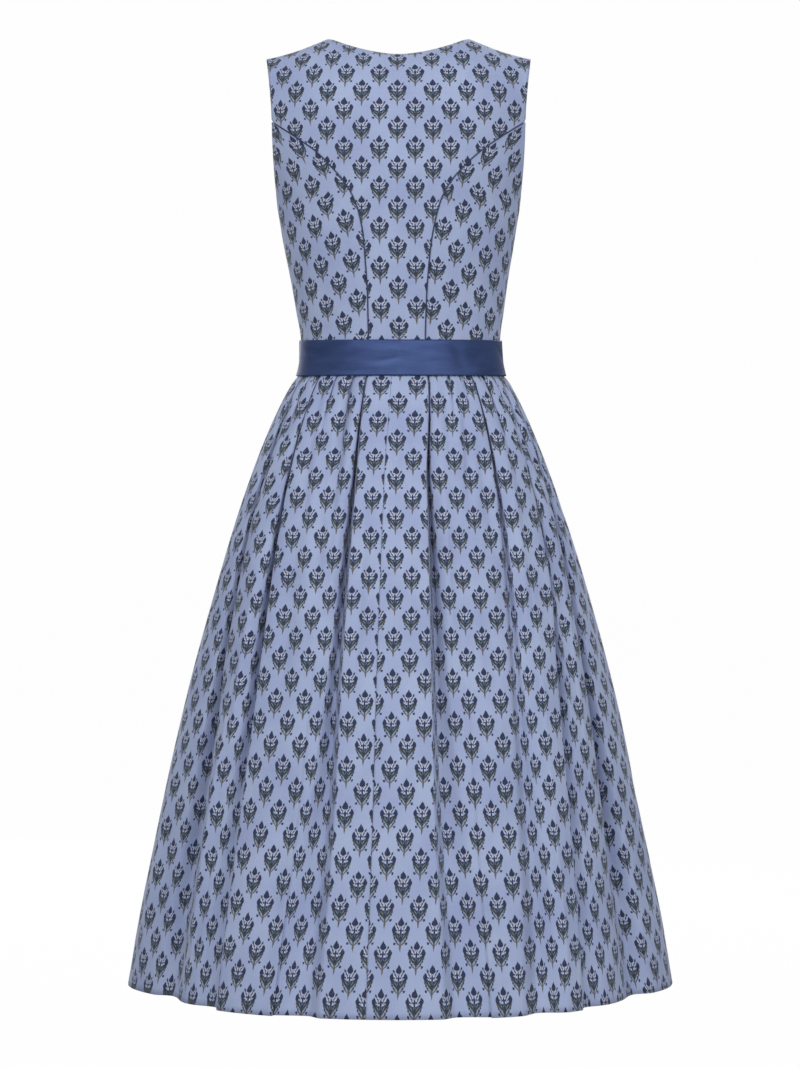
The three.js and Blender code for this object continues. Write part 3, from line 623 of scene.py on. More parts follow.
# %% The creases of the skirt
CREASES = table(
    ("top", "end", "start", "finish", "wide", "high"),
    (-0.415, -0.61, -26, -25, 0.0055, -0.0055),
    (-0.45, -0.74, -20, -21, 0.008, 0.0035),
    (-0.43, -0.62, -44, -35, 0.006, -0.0035),
    (-0.5, -0.74, -32, -24.3, 0.009, -0.0035),
    (-0.58, -0.87, -38, -32, 0.012, -0.0035),
    (-0.66, -0.9, -51.5, -49, 0.009, 0.0035),
    (-0.8, -1.05, -61.6, -62, 0.011, -0.0035),
    (-0.45, -0.6, -68, -64, 0.006, -0.0035),
    (-0.43, -0.53, -8, -8.6, 0.0045, -0.002),
    (-0.43, -0.62, -1.2, -1.6, 0.005, -0.0022),
    (-0.55, -0.85, -12.4, -12, 0.006, -0.0025),
    (-0.43, -0.55, 5, 4.6, 0.004, -0.0018),
    (-0.47, -0.8, 16, 13.7, 0.007, 0.0035),
    (-0.62, -0.95, 18.5, 19.5, 0.011, -0.004),
    (-0.43, -0.53, 22.5, 20, 0.0045, -0.003),
    (-0.43, -0.6, 32, 24.6, 0.0055, -0.0045),
    (-0.49, -0.66, 33.5, 32, 0.007, -0.003),
    (-0.7, -0.84, 26, 25.5, 0.01, -0.0025),
    (-0.47, -0.75, 47, 40, 0.008, 0.0035),
    (-0.6, -0.95, 54, 54, 0.01, 0.0035),
    (-0.44, -0.6, 66, 70, 0.006, -0.0035),
    (-0.9, -1.2, -27, -29, 0.016, -0.0035),
    (-0.95, -1.21, 20, 21.5, 0.014, -0.003),
    (-1, -1.21, 1, 0.5, 0.012, -0.0018),
    (-0.98, -1.2, 36.5, 36.5, 0.012, 0.003),
    (-0.88, -1.15, -53, -54, 0.012, 0.004),
    (-0.44, -0.7, 84, 86, 0.008, -0.0035),
    (-0.6, -0.95, 92, 90, 0.012, 0.0035),
    (-0.45, -0.66, 112, 110, 0.007, -0.004),
    (-0.62, -0.98, 132, 131, 0.012, -0.0035),
    (-0.43, -0.58, 139, 138, 0.006, -0.0035),
    (-0.7, -1.05, 155, 154, 0.013, 0.0035),
    (-0.43, -0.62, 160, 159, 0.006, -0.0035),
    (-0.5, -0.8, 179, 180, 0.009, -0.003),
    (-0.44, -0.6, 203, 204, 0.006, -0.004),
    (-0.66, -1, 206, 205, 0.012, -0.0035),
    (-0.45, -0.72, 226, 227, 0.008, 0.0035),
    (-0.43, -0.6, 246, 248, 0.006, -0.0035),
    (-0.75, -1.1, 250, 249, 0.013, -0.0035),
    (-0.5, -0.8, 275, 277, 0.01, -0.003),
    (-0.9, -1.2, 281, 282, 0.014, 0.0035),
)
FAR_OFF = 3
CREASE_FULLNESS = 1.35
CREASE_FADE = 0.7


def crease_heights(z):
    """The creases that cross one height, each with its angle and how high it stands there."""
    found = []
    for crease in CREASES:
        t = (crease["top"] - z) / (crease["top"] - crease["end"])
        if 0 < t < 1:
            degrees = crease["start"] + (crease["finish"] - crease["start"]) * t
            height = CREASE_FULLNESS * crease["high"] * math.sin(math.pi * t) ** CREASE_FADE
            found.append((degrees, crease["wide"], height))
    return found


print("soft creases:", len(CREASES))

# %% [markdown]
# ## One height of the skirt
#
# At one height, the cloth between two long folds is a run of flat parts and grooves. The class
# below lists the grooves in the order of the cut cloth, and then tells for any length of cloth
# how far round the form it lies and how deep. FOLD_TURN slants the depth of the grooves, most
# of all half way to the sides, so that one wall of a fold hides the other.

# %% The skirt's cloth at one height
FOLD_TURN = 30
SIDE_STEP = 0.5


class SkirtRow:
    """One height of the skirt: where a length of cut cloth lies round the form."""

    def __init__(self, z):
        count = len(FOLDS)
        self.z = z
        self.arcs = Arcs(z)
        self.creases = crease_heights(z)
        self.metres = math.radians(self.arcs.around / (2 * math.pi))
        self.roll = groove["roll"](z)
        self.roll_width = groove["roll_width"](z)
        self.lobes = [lobe(self.arcs, i, z) for i in range(count)]
        self.features = [self.lobe_features(i) for i in range(count)]

    def depth(self, i):
        left, right = groove_halves(i, self.z)
        left = wall_reach(left, self.lobes[i - 1]["right"])
        right = wall_reach(right, self.lobes[i]["left"])
        return soft_limit((left + right) / 2, groove["deepest"](self.z))

    def lobe_features(self, i):
        this = self.lobes[i]
        following = (i + 1) % len(FOLDS)
        start = groove_halves(i, self.z)[1]
        end = groove_halves(following, self.z)[0]
        lean = FOLDS[i]["lean"]
        found = [{"cut": 0, "place": 0, "right": start, "right_cut": start + this["left"]}]
        found[0]["depth"] = self.depth(i)
        found[0]["roll"] = self.roll * (1 + lean)
        taken = this["left"]
        for sizes, cut in zip(this["pleats"], pleat_cuts[i]):
            wall = sizes["half"] + sizes["extra"]
            place = cut - taken - sizes["extra"]
            taken += 2 * sizes["extra"]
            both = {"left": sizes["half"], "left_cut": wall, "right": sizes["half"]}
            both["roll"] = min(self.roll, PLEAT_ROLL * sizes["depth"])
            both["depth"] = sizes["depth"]
            found.append({"cut": cut, "place": place, "right_cut": wall, **both})
        last = {"cut": lobe_cuts[i], "place": this["chord"], "left": end}
        last["roll"] = self.roll * (1 - FOLDS[following]["lean"])
        found.append({**last, "left_cut": end + this["right"], "depth": self.depth(following)})
        return found

    def place_and_depth(self, cut):
        around = cut % SKIRT_CUT
        i = bisect.bisect_right(fold_cuts, around) - 1
        local = around - fold_cuts[i]
        found = self.features[i]
        k = 0
        while k < len(found) - 2 and local > found[k + 1]["cut"]:
            k += 1
        before, after = found[k], found[k + 1]
        from_before = local - before["cut"] - before["right_cut"]
        to_after = after["cut"] - after["left_cut"] - local
        start = self.lobes[i]["start"]
        rolled = before["roll"] * math.exp(-max(from_before, 0) / self.roll_width)
        rolled += after["roll"] * math.exp(-max(to_after, 0) / self.roll_width)
        if from_before < 0:
            share = -from_before / before["right_cut"]
            place = before["place"] + before["right"] * (1 - share)
            return start + place, rolled + wall_depth(share, before["depth"] - rolled)
        if to_after < 0:
            share = -to_after / after["left_cut"]
            place = after["place"] - after["left"] * (1 - share)
            return start + place, rolled + wall_depth(share, after["depth"] - rolled)
        low = before["place"] + before["right"]
        high = after["place"] - after["left"]
        return start + low + (high - low) * from_before / (from_before + to_after), rolled

    def crease(self, degrees):
        height = 0
        for middle, wide, high in self.creases:
            off = ((degrees - middle + 180) % 360 - 180) * self.metres / wide
            if abs(off) < FAR_OFF:
                height += high * math.exp(-off * off)
        return height

    def point(self, cut):
        place, depth = self.place_and_depth(cut)
        degrees = self.arcs.degrees_at(place)
        ahead, behind = self.arcs.point(degrees + SIDE_STEP), self.arcs.point(degrees - SIDE_STEP)
        tangent = (ahead - behind).normalized()
        outward = Vector((tangent.y, -tangent.x, 0))
        turned = math.tan(math.radians(FOLD_TURN * math.sin(math.radians(2 * degrees))))
        inward = tangent * turned - outward
        return self.arcs.point(degrees) + inward * depth + outward * self.crease(degrees)


def wall_depth(share, depth):
    return depth * (1 - math.cos(math.pi * share)) / 2


print("pleats placed:", sum(len(cuts) for cuts in pleat_cuts))

# %% [markdown]
# ## From a surface to a sheet of cloth
#
# Each panel starts as Blender's own grid. Its points move onto the surface, its UV map keeps
# the flat cut, so that the print lies on it as it was printed, and a Solidify modifier gives
# it the thickness of cloth. The creases are soft troughs and ridges along the normal.

# %% The sheet maker
COTTON = 0.0009
SATIN = 0.0011


def grid_normal(points, i, j):
    rows, columns = len(points), len(points[0])
    right = points[i][min(j + 1, columns - 1)] - points[i][max(j - 1, 0)]
    up = points[min(i + 1, rows - 1)][j] - points[max(i - 1, 0)][j]
    return right.cross(up).normalized()


def sheet_object(name, points, flats, thickness, finishes, ring=False):
    rows, columns = len(points), len(points[0])
    shape = bmesh.new()
    cloth_map = shape.loops.layers.uv.new("cloth")
    bmesh.ops.create_grid(shape, x_segments=columns - 1, y_segments=rows - 1, size=1)
    flat_of = {}
    for vert in shape.verts:
        j = round((vert.co.x + 1) / 2 * (columns - 1))
        i = round((vert.co.y + 1) / 2 * (rows - 1))
        vert.co = points[i][j]
        flat_of[vert] = flats[i][j]
    for face in shape.faces:
        face.smooth = True
        for corner in face.loops:
            corner[cloth_map].uv = flat_of[corner.vert]
    if ring:
        bmesh.ops.remove_doubles(shape, verts=shape.verts, dist=0.00001)
    mesh = bpy.data.meshes.new(name)
    shape.to_mesh(mesh)
    shape.free()
    piece = bpy.data.objects.new(name, mesh)
    scene.collection.objects.link(piece)
    for finish in finishes:
        mesh.materials.append(finish)
    wall = piece.modifiers.new("cloth thickness", "SOLIDIFY")
    wall.thickness = thickness
    wall.offset = -1
    wall.use_rim = True
    wall.material_offset = len(finishes) - 1
    wall.material_offset_rim = 0
    return piece


# %% [markdown]
# ## Nodes without a tangle
#
# A printed cloth needs a few hundred shader nodes, so they are added by a small helper. It
# takes numbers and sockets alike. An effect that more than one material uses is a node group
# with named inputs and outputs, as a stencil that is cut once and used again.


# %% The node helper
class Nodes:
    def __init__(self, tree):
        self.tree = tree

    def add(self, kind, values=(), **settings):
        made = self.tree.nodes.new(kind)
        for name, setting in settings.items():
            setattr(made, name, setting)
        pairs = values.items() if isinstance(values, dict) else enumerate(values)
        for key, value in pairs:
            self.put(made.inputs[key], value)
        return made

    def put(self, socket, value):
        if isinstance(value, bpy.types.NodeSocket):
            self.tree.links.new(value, socket)
        else:
            socket.default_value = value

    def math(self, operation, *values, clamp=False):
        return self.add("ShaderNodeMath", values, operation=operation, use_clamp=clamp).outputs[0]

    def vector(self, operation, *values):
        return self.add("ShaderNodeVectorMath", values, operation=operation).outputs[0]

    def split(self, vector):
        return self.add("ShaderNodeSeparateXYZ", [vector]).outputs

    def join(self, *values):
        return self.add("ShaderNodeCombineXYZ", values).outputs[0]

    def mix(self, factor, a, b):
        values = {0: factor, 6: a, 7: b}
        return self.add("ShaderNodeMix", values, data_type="RGBA").outputs[2]

    def blend(self, factor, a, b):
        values = {0: factor, 4: a, 5: b}
        return self.add("ShaderNodeMix", values, data_type="VECTOR").outputs[1]

    def noise(self, vector, scale, detail=2, **settings):
        values = {"Vector": vector, "Scale": scale, "Detail": detail}
        return self.add("ShaderNodeTexNoise", values, **settings).outputs["Fac"]

    def ramp(self, value, low, high, to_low=0.0, to_high=1.0):
        values = {0: value, 1: low, 2: high, 3: to_low, 4: to_high}
        return self.add("ShaderNodeMapRange", values).outputs[0]

    def group(self, group, **values):
        made = self.add("ShaderNodeGroup", node_tree=group)
        for name, value in values.items():
            self.put(made.inputs[name], value)
        return made.outputs


SOCKETS = {"vector": "NodeSocketVector", "value": "NodeSocketFloat", "colour": "NodeSocketColor"}


def new_group(name, inputs, outputs):
    tree = bpy.data.node_groups.new(name, "ShaderNodeTree")
    for way, sockets in (("INPUT", inputs), ("OUTPUT", outputs)):
        for title, kind in sockets.items():
            tree.interface.new_socket(title, in_out=way, socket_type=SOCKETS[kind])
    nodes = Nodes(tree)
    given = nodes.add("NodeGroupInput").outputs
    result = nodes.add("NodeGroupOutput").inputs
    return nodes, given, result


# %% [markdown]
# ## The flower print
#
# The cotton is roller printed: one small upright flower in rows, with each row moved along by
# half a repeat. The lattice group turns the flat cloth's own coordinates into the place
# inside the nearest flower, in millimetres. Every petal and leaf of the flower is then one
# stencil with its centre, slant, length and width, as in a hand-drawn repeat.

# %% The half-drop lattice
REPEAT = (0.0477, 0.0498, 1)
MILLIMETRES = (REPEAT[0] * 1000, REPEAT[1] * 1000, 0)
HALVES = (0.5, 0.5, 0.5)


def lattice_group():
    nodes, given, result = new_group(
        "half_drop_lattice", {"Cloth": "vector"}, {"Place": "vector", "Number": "vector"})
    turned = nodes.vector("DIVIDE", given["Cloth"], REPEAT)
    moved = nodes.vector("ADD", turned, HALVES)
    on_corner = nodes.vector("SUBTRACT", nodes.vector("FRACTION", moved), HALVES)
    on_middle = nodes.vector("SUBTRACT", nodes.vector("FRACTION", turned), HALVES)
    away = nodes.split(nodes.vector("ABSOLUTE", on_corner))
    near_corner = nodes.math("LESS_THAN", nodes.math("ADD", away[0], away[1]), 0.5)
    place = nodes.blend(near_corner, on_middle, on_corner)
    middle_number = nodes.vector("ADD", nodes.vector("FLOOR", turned), HALVES)
    number = nodes.blend(near_corner, middle_number, nodes.vector("FLOOR", moved))
    nodes.put(result["Place"], nodes.vector("MULTIPLY", place, MILLIMETRES))
    nodes.put(result["Number"], number)
    return nodes.tree


half_drop = lattice_group()

# %% One petal: a stencil that narrows to both ends
SOFT_EDGE = 0.45
LEAST_NARROW = 0.2


def petal_group():
    inputs = {key: "vector" for key in ("Place", "Centre", "Turn", "Size")}
    inputs["Taper"] = "value"
    nodes, given, result = new_group("petal", inputs, {"Mask": "value"})
    values = [given["Place"], given["Centre"], given["Turn"], given["Size"]]
    place = nodes.add("ShaderNodeMapping", values, vector_type="TEXTURE").outputs[0]
    x, y, _ = nodes.split(place)
    round_ends = nodes.math("SUBTRACT", 1, nodes.math("MULTIPLY", y, y))
    narrowing = nodes.math("SUBTRACT", 1, nodes.math("MULTIPLY", given["Taper"], y))
    narrowing = nodes.math("MAXIMUM", narrowing, LEAST_NARROW)
    edge = nodes.math("MULTIPLY", round_ends, narrowing)
    inside = nodes.math("SUBTRACT", edge, nodes.math("ABSOLUTE", x))
    width = nodes.split(given["Size"])[0]
    sharp = nodes.math("DIVIDE", width, SOFT_EDGE)
    nodes.put(result["Mask"], nodes.math("MULTIPLY_ADD", inside, sharp, 0.5, clamp=True))
    return nodes.tree


petal = petal_group()

# %% The flower's chart, in millimetres from its middle, one side only
FLOWER = table(
    ("ink", "x", "y", "slant", "long", "wide", "taper"),
    ("white", 3.2, 9.6, -36, 2.7, 0.85, 0),
    ("white", 6.2, 7, -36, 2.8, 0.9, 0),
    ("white", 2.2, 3.4, -30, 2, 0.85, 0.1),
    ("white", 4.4, 5, -48, 1.8, 0.6, 0),
    ("white", 2, 7.2, -20, 1.3, 0.65, 0),
    ("taupe", 0, 12, 0, 1.7, 1.4, 0),
    ("taupe", 5.2, 9.7, -38, 2.4, 0.75, 0),
    ("taupe", 4, 8.1, -40, 1.8, 1.2, 0),
    ("taupe", 1.3, 9.6, 20, 1.5, 0.5, 0),
    ("taupe", 3.4, 5.9, -40, 1.5, 0.7, 0),
    ("olive", 0, -11.6, 0, 6.2, 1.35, -0.35),
    ("olive", 0, -7, 0, 4.2, 1.6, 0),
    ("olive", 3.9, -8.2, -46, 4.6, 0.8, 0),
    ("olive", 9.7, 0.8, -22, 3.6, 1.6, 0),
    ("olive", 5.7, -2.8, -44, 4.8, 0.75, 0),
    ("olive", 6.7, -7.8, -78, 1.7, 0.4, 0),
    ("green", 4.6, -0.5, -42, 6.1, 2.4, 0.1),
    ("green", 1.5, -4.4, -14, 3.6, 1.5, 0.1),
    ("green", 6.4, -5.5, -36, 2.2, 1.1, 0),
    ("green", 7, 12.2, -35, 2.1, 1.25, 0),
    ("green", 8.7, 2.2, -20, 2.8, 1.6, 0),
    ("navy", 0, 14.6, 0, 5, 3.6, 0.7),
    ("navy", 3, 12.1, -24, 2.3, 1.4, 0),
    ("navy", 9.8, 6.3, 3, 4.4, 3, 0.1),
    ("navy", 0, 3.9, 0, 4.9, 1.45, -0.1),
    ("navy", 0, -1.6, 0, 3.2, 1.1, 0),
    ("navy", 3, 5, 38, 1.6, 0.8, 0),
    ("navy", 6.1, 5.6, -42, 1.7, 0.85, 0),
    ("navy", 2.1, 0.9, -38, 1.8, 0.95, 0),
    ("navy", 5, 8.8, 0, 0.8, 0.8, 0),
    ("navy", 1.6, 5.3, 0, 0.7, 0.7, 0),
    ("navy", 8.6, -2.7, -15, 1.6, 1.3, 0),
    ("navy", 8.4, -8.6, -52, 2, 1.3, 0),
    ("pale", 5, -4.6, -43, 4.8, 0.5, 0),
    ("pale", 4.3, -0.6, -42, 3, 0.35, 0),
)
INKS = {
    "white": (0.52, 0.57, 0.72, 1),
    "taupe": (0.16, 0.14, 0.17, 1),
    "olive": (0.105, 0.102, 0.1, 1),
    "green": (0.022, 0.042, 0.058, 1),
    "navy": (0.013, 0.026, 0.078, 1),
    "pale": (0.26, 0.3, 0.36, 1),
}
RUST = (0.2, 0.1, 0.085, 1)
RUST_FLECKS = 520
INK_WANDER = (1.9, 1.9, 0)
INK_WANDER_SCALE = 260
print("stencils in the flower:", len(FLOWER))


def flower_group():
    nodes, given, result = new_group(
        "flower", {"Cloth": "vector", "Ground": "colour"}, {"Colour": "colour", "Ink": "value"})
    flower = nodes.group(half_drop, Cloth=given["Cloth"])
    values = {"Vector": given["Cloth"], "Scale": INK_WANDER_SCALE, "Detail": 1}
    wander = nodes.add("ShaderNodeTexNoise", values).outputs["Color"]
    wander = nodes.vector("SUBTRACT", wander, HALVES)
    wander = nodes.vector("MULTIPLY", wander, INK_WANDER)
    place = nodes.vector("ADD", flower["Place"], wander)
    x, y, _ = nodes.split(place)
    mirrored = nodes.join(nodes.math("ABSOLUTE", x), y)
    colour = given["Ground"]
    covered = None
    for ink, tone in INKS.items():
        mask = None
        for row in FLOWER:
            if row["ink"] != ink:
                continue
            values = {
                "Place": mirrored,
                "Centre": (row["x"], row["y"], 0),
                "Turn": (0, 0, math.radians(row["slant"])),
                "Size": (row["wide"], row["long"], 1),
                "Taper": row["taper"],
            }
            one = nodes.group(petal, **values)["Mask"]
            mask = one if mask is None else nodes.math("MAXIMUM", mask, one)
        colour = nodes.mix(mask, colour, tone)
        covered = mask if covered is None else nodes.math("MAXIMUM", covered, mask)
    own_place = nodes.vector("ADD", given["Cloth"], flower["Number"])
    fleck = nodes.noise(own_place, RUST_FLECKS, 1)
    rusty = nodes.math("MULTIPLY", nodes.ramp(fleck, 0.6, 0.7, 0, 0.5), covered)
    nodes.put(result["Colour"], nodes.mix(rusty, colour, RUST))
    nodes.put(result["Ink"], covered)
    return nodes.tree


flower_print = flower_group()

# %% [markdown]
# ## Woven cloth
#
# Under the print is a plain weave: threads that pass over and under each other, with slubs
# where one is thicker. It is far finer than a pixel from across the room, and shows close to.

# %% Threads and slubs
THREAD_PITCH = 0.0007
SLUBS = {"warp": (900, 60, 1), "weft": (60, 900, 1)}


def weave_group():
    nodes, given, result = new_group(
        "plain_weave", {"Cloth": "vector"}, {"Height": "value", "Tone": "value"})
    along = nodes.vector("SCALE", given["Cloth"])
    nodes.put(along.node.inputs["Scale"], 2 * math.pi / THREAD_PITCH)
    x, y, _ = nodes.split(along)
    warp = nodes.math("SINE", x)
    weft = nodes.math("SINE", y)
    checks = nodes.math("MULTIPLY", warp, weft)
    warp_slubs = nodes.noise(nodes.vector("MULTIPLY", given["Cloth"], SLUBS["warp"]), 1, 2)
    weft_slubs = nodes.noise(nodes.vector("MULTIPLY", given["Cloth"], SLUBS["weft"]), 1, 2)
    slubs = nodes.math("ADD", warp_slubs, weft_slubs)
    nodes.put(result["Height"], nodes.math("MULTIPLY_ADD", checks, 0.25, slubs))
    nodes.put(result["Tone"], nodes.ramp(slubs, 0.6, 1.4, -1, 1))
    return nodes.tree


plain_weave = weave_group()


# %% The printed cotton, right side and reverse
def material(name, **sockets):
    finish = bpy.data.materials.new(name)
    finish.use_nodes = True
    nodes = Nodes(finish.node_tree)
    shader = finish.node_tree.nodes["Principled BSDF"]
    for title, value in sockets.items():
        nodes.put(shader.inputs[title.replace("_", " ")], value)
    return finish, nodes, shader


GROUND = (0.375, 0.432, 0.622, 1)
GROUND_DEEP = (0.314, 0.364, 0.572, 1)
REVERSE_GROUND = (0.45, 0.5, 0.68, 1)
SHOW_THROUGH = 0.35


def cotton(name, ground, deep, strength):
    finish, nodes, shader = material(name, Roughness=0.82, Sheen_Weight=0.12, Sheen_Roughness=0.5)
    cloth = nodes.add("ShaderNodeUVMap", uv_map="cloth").outputs[0]
    weave = nodes.group(plain_weave, Cloth=cloth)
    cloud = nodes.noise(cloth, 14, 3)
    plain = nodes.mix(nodes.ramp(cloud, 0.35, 0.65), ground, deep)
    printed = nodes.group(flower_print, Cloth=cloth, Ground=plain)["Colour"]
    if strength < 1:
        printed = nodes.mix(strength, plain, printed)
    tone = nodes.math("MULTIPLY_ADD", weave["Tone"], 0.05, 1)
    toned = nodes.vector("MULTIPLY", printed, nodes.join(tone, tone, tone))
    nodes.put(shader.inputs["Base Color"], toned)
    values = {"Strength": 0.25, "Distance": 0.0003, "Height": weave["Height"]}
    bump = nodes.add("ShaderNodeBump", values)
    nodes.put(shader.inputs["Normal"], bump.outputs[0])
    return finish


print_cotton = cotton("print_cotton", GROUND, GROUND_DEEP, 1)
print_reverse = cotton("print_reverse", REVERSE_GROUND, REVERSE_GROUND, SHOW_THROUGH)
print("cotton nodes:", len(print_cotton.node_tree.nodes) + len(flower_print.nodes))

# %% [markdown]
# ## Satin and cord
#
# Satin floats its threads over many others, so it shines across them. The band's threads run
# round the waist, so the light spreads upwards and downwards from each crease.


# %% Satin and piping
# The deep tone is the satin's own navy. The lit tone and the streak tone are painted sheen:
# lighter patches and streaks that stand in for its shine.
SATIN_AND_SHEEN_TONES = {
    "deep": (0.03, 0.051, 0.142, 1),
    "lit": (0.047, 0.077, 0.197, 1),
    "sheen_streak": (0.05, 0.088, 0.23, 1),
}
SATIN_STRETCH = {"floats": (40, 2600, 1), "cloud": (18, 60, 1), "creases": (14, 60, 1)}
CORD_TONES = ((0.012, 0.02, 0.062, 1), (0.028, 0.044, 0.115, 1))


def satin():
    finish, nodes, shader = material("navy_satin", Roughness=0.48, Anisotropic=0.4, Metallic=0.75)
    cloth = nodes.add("ShaderNodeUVMap", uv_map="cloth").outputs[0]
    floats = nodes.noise(nodes.vector("MULTIPLY", cloth, SATIN_STRETCH["floats"]), 1, 2)
    cloud = nodes.noise(nodes.vector("MULTIPLY", cloth, SATIN_STRETCH["cloud"]), 1, 3)
    # Painted sheen: cloudy patches of the lighter lit tone over the deep navy.
    base = nodes.mix(nodes.ramp(cloud, 0.35, 0.68), SATIN_AND_SHEEN_TONES["deep"], SATIN_AND_SHEEN_TONES["lit"])
    # Painted sheen: lighter streaks along the floats.
    streaks = nodes.ramp(floats, 0.4, 0.7, 0, 0.3)
    streaked = nodes.mix(streaks, base, SATIN_AND_SHEEN_TONES["sheen_streak"])
    nodes.put(shader.inputs["Base Color"], streaked)
    creases = nodes.noise(nodes.vector("MULTIPLY", cloth, SATIN_STRETCH["creases"]), 1, 2)
    bump = nodes.add("ShaderNodeBump", {"Strength": 0.4, "Distance": 0.0012, "Height": creases})
    values = {"Strength": 0.2, "Distance": 0.0002, "Height": floats, "Normal": bump.outputs[0]}
    fine = nodes.add("ShaderNodeBump", values)
    nodes.put(shader.inputs["Normal"], fine.outputs[0])
    return finish


def cord_finish():
    finish, nodes, shader = material("navy_piping", Roughness=0.55)
    place = nodes.add("ShaderNodeTexCoord").outputs["Object"]
    fibres = nodes.noise(place, 900, 2)
    nodes.put(shader.inputs["Base Color"], nodes.mix(fibres, *CORD_TONES))
    bump = nodes.add("ShaderNodeBump", {"Strength": 0.4, "Distance": 0.0004, "Height": fibres})
    nodes.put(shader.inputs["Normal"], bump.outputs[0])
    return finish


navy_satin = satin()
navy_piping = cord_finish()
print("finishes:", navy_satin.name, navy_piping.name)

# %% [markdown]
#
# Each finished piece stands for one imported solid, which it hides, and moves with the body.
# For a bodice panel the script prints the area of its mesh, measured before the cloth gets its
# thickness.

def place_piece(piece, node):
    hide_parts(node)
    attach(piece, "root")


def flat_size(piece):
    shape = bmesh.new()
    shape.from_mesh(piece.data)
    area = sum(face.calc_area() for face in shape.faces)
    shape.free()
    return area


# %% [markdown]
# ## The skirt
#
# Four panels are gathered into the waist. The printed cloth runs straight down each panel, so
# the UV map keeps the cut width. The rows of flowers spread a little towards the hem. At each
# seam the edges of the cloth turn in, which draws the fine dark line of a real seam.

# %% Rows of the print down the skirt
PRINT_ROWS = table(
    ("z", "repeats", "narrow", "first_right", "first_left"),
    (-0.401, -0.94, 1.07, 0.0113, 0.0344),
    (-0.4448, 0, 1.08, 0.0115, 0.0345),
    (-0.5396, 2, 1.11, 0.0145, 0.0351),
    (-0.6384, 4, 1.135, 0.0174, 0.0351),
    (-0.7386, 6, 1.14, 0.0199, 0.035),
    (-0.8428, 8, 1.15, 0.02, 0.0345),
    (-0.9524, 10, 1.155, 0.0201, 0.0345),
    (-1.065, 12, 1.15, 0.0196, 0.0362),
    (-1.1791, 14, 1.15, 0.0182, 0.0428),
    (-1.2155, 14.6, 1.15, 0.018, 0.0445),
)
print_rows = smooth(PRINT_ROWS, "repeats")
print_narrow = smooth(PRINT_ROWS, "narrow")
first_right = smooth(PRINT_ROWS, "first_right")
first_left = smooth(PRINT_ROWS, "first_left")
FLOWER_TOP = 0.0187
SKIRT_CELL = 0.0032
SKIRT_ROWS = 116
ROWS_NEARER_WAIST = 1.25
PRINT_FROM_FRONT_SEAM = {"left": 0.01, "right": 0.012}
SEAM_STEPS = (0.00003, 0.0005, 0.0011, 0.002, 0.0034)
SEAM_TURN = {"waist": 0.0009, "hem": 0.002}
SEAM_SOFT = 0.0014


def skirt_heights():
    span = WAIST_SEAM_Z - HEM_Z
    above_waist = [(1 - k / SKIRT_ROWS) ** ROWS_NEARER_WAIST for k in range(SKIRT_ROWS + 1)]
    return [HEM_Z + span * (1 - share) for share in above_waist]


skirt_rows = [SkirtRow(z) for z in skirt_heights()]
print("skirt rows", len(skirt_rows))


def panel_cuts(start, end):
    low = [start + step for step in SEAM_STEPS]
    high = [end - step for step in reversed(SEAM_STEPS)]
    count = round((high[0] - low[-1]) / SKIRT_CELL)
    inner = [low[-1] + (high[0] - low[-1]) * j / count for j in range(1, count)]
    return low + inner + high


def relief(points, amount):
    raised = []
    for i, row in enumerate(points):
        normals = [grid_normal(points, i, j) for j in range(len(row))]
        raised.append([row[j] + normals[j] * amount(i, j) for j in range(len(row))])
    return raised


def seam_dip(z, distance):
    down = (z - WAIST_SEAM_Z) / (HEM_Z - WAIST_SEAM_Z)
    turn = SEAM_TURN["waist"] + (SEAM_TURN["hem"] - SEAM_TURN["waist"]) * down
    return -turn * math.exp(-distance / SEAM_SOFT)


def skirt_sheet(name, start, end, across, down):
    cuts = panel_cuts(start, end)
    points = [[row.point(cut) for cut in cuts] for row in skirt_rows]
    to_seam = [min(cut - start, end - cut) for cut in cuts]
    points = relief(points, lambda i, j: seam_dip(skirt_rows[i].z, to_seam[j]))
    flats = []
    for row in skirt_rows:
        v = FLOWER_TOP + down - print_rows(row.z) * REPEAT[1]
        column = across(row.z)
        flats.append([((cut - column) * print_narrow(row.z), v) for cut in cuts])
    return sheet_object(name, points, flats, COTTON, [print_cotton, print_reverse])


left_seam = fold_cuts[fold_number["back-left-outer"]] + SIDE_SEAM_SHIFT
right_seam = fold_cuts[fold_number["back-right-outer"]] - SIDE_SEAM_SHIFT
middle_lobe = fold_number["front-right-inner"]
front_seam = fold_cuts[middle_lobe] + sum(pleat_cuts[middle_lobe]) / 2
left_end = SKIRT_CUT + CENTRE_BACK_SEAM
front_left_at = front_seam + PRINT_FROM_FRONT_SEAM["left"]
front_right_at = front_seam - PRINT_FROM_FRONT_SEAM["right"]
SKIRT_PANELS = table(
    ("node", "start", "end", "across", "down"),
    ("skirt_back_left", left_seam, left_end, lambda z: left_end - first_left(z), 0),
    ("skirt_back_right", CENTRE_BACK_SEAM, right_seam,
        lambda z: CENTRE_BACK_SEAM + first_right(z), 0),
    ("skirt_front_right", right_seam, front_seam, lambda z: front_right_at, 0.014),
    ("skirt_front_left", front_seam, left_seam, lambda z: front_left_at, 0.008),
)
for panel in SKIRT_PANELS:
    node, start, end = panel["node"], panel["start"], panel["end"]
    piece = skirt_sheet(node + "_cloth", start, end, panel["across"], panel["down"])
    place_piece(piece, node)
    print(node, "cut", round(end - start, 3), "m wide")

# %% [markdown]
# ## The bodice
#
# Seven panels make the bodice. Each is a grid between its two seams, from the waist seam to
# the armhole or shoulder. Its cloth coordinates are lengths along the surface, so the flowers
# keep their size where the panel curves.

# %% Bodice sheets
BODICE_BOTTOM = WAIST_SEAM_Z
BODICE_CELL = 0.0045
PRINT_DRAWN_IN = 1.045
PRINT_EASED = 0.985


def bodice_heights(top):
    count = round((top - BODICE_BOTTOM) / BODICE_CELL)
    return [BODICE_BOTTOM + (top - BODICE_BOTTOM) * i / count for i in range(count + 1)]


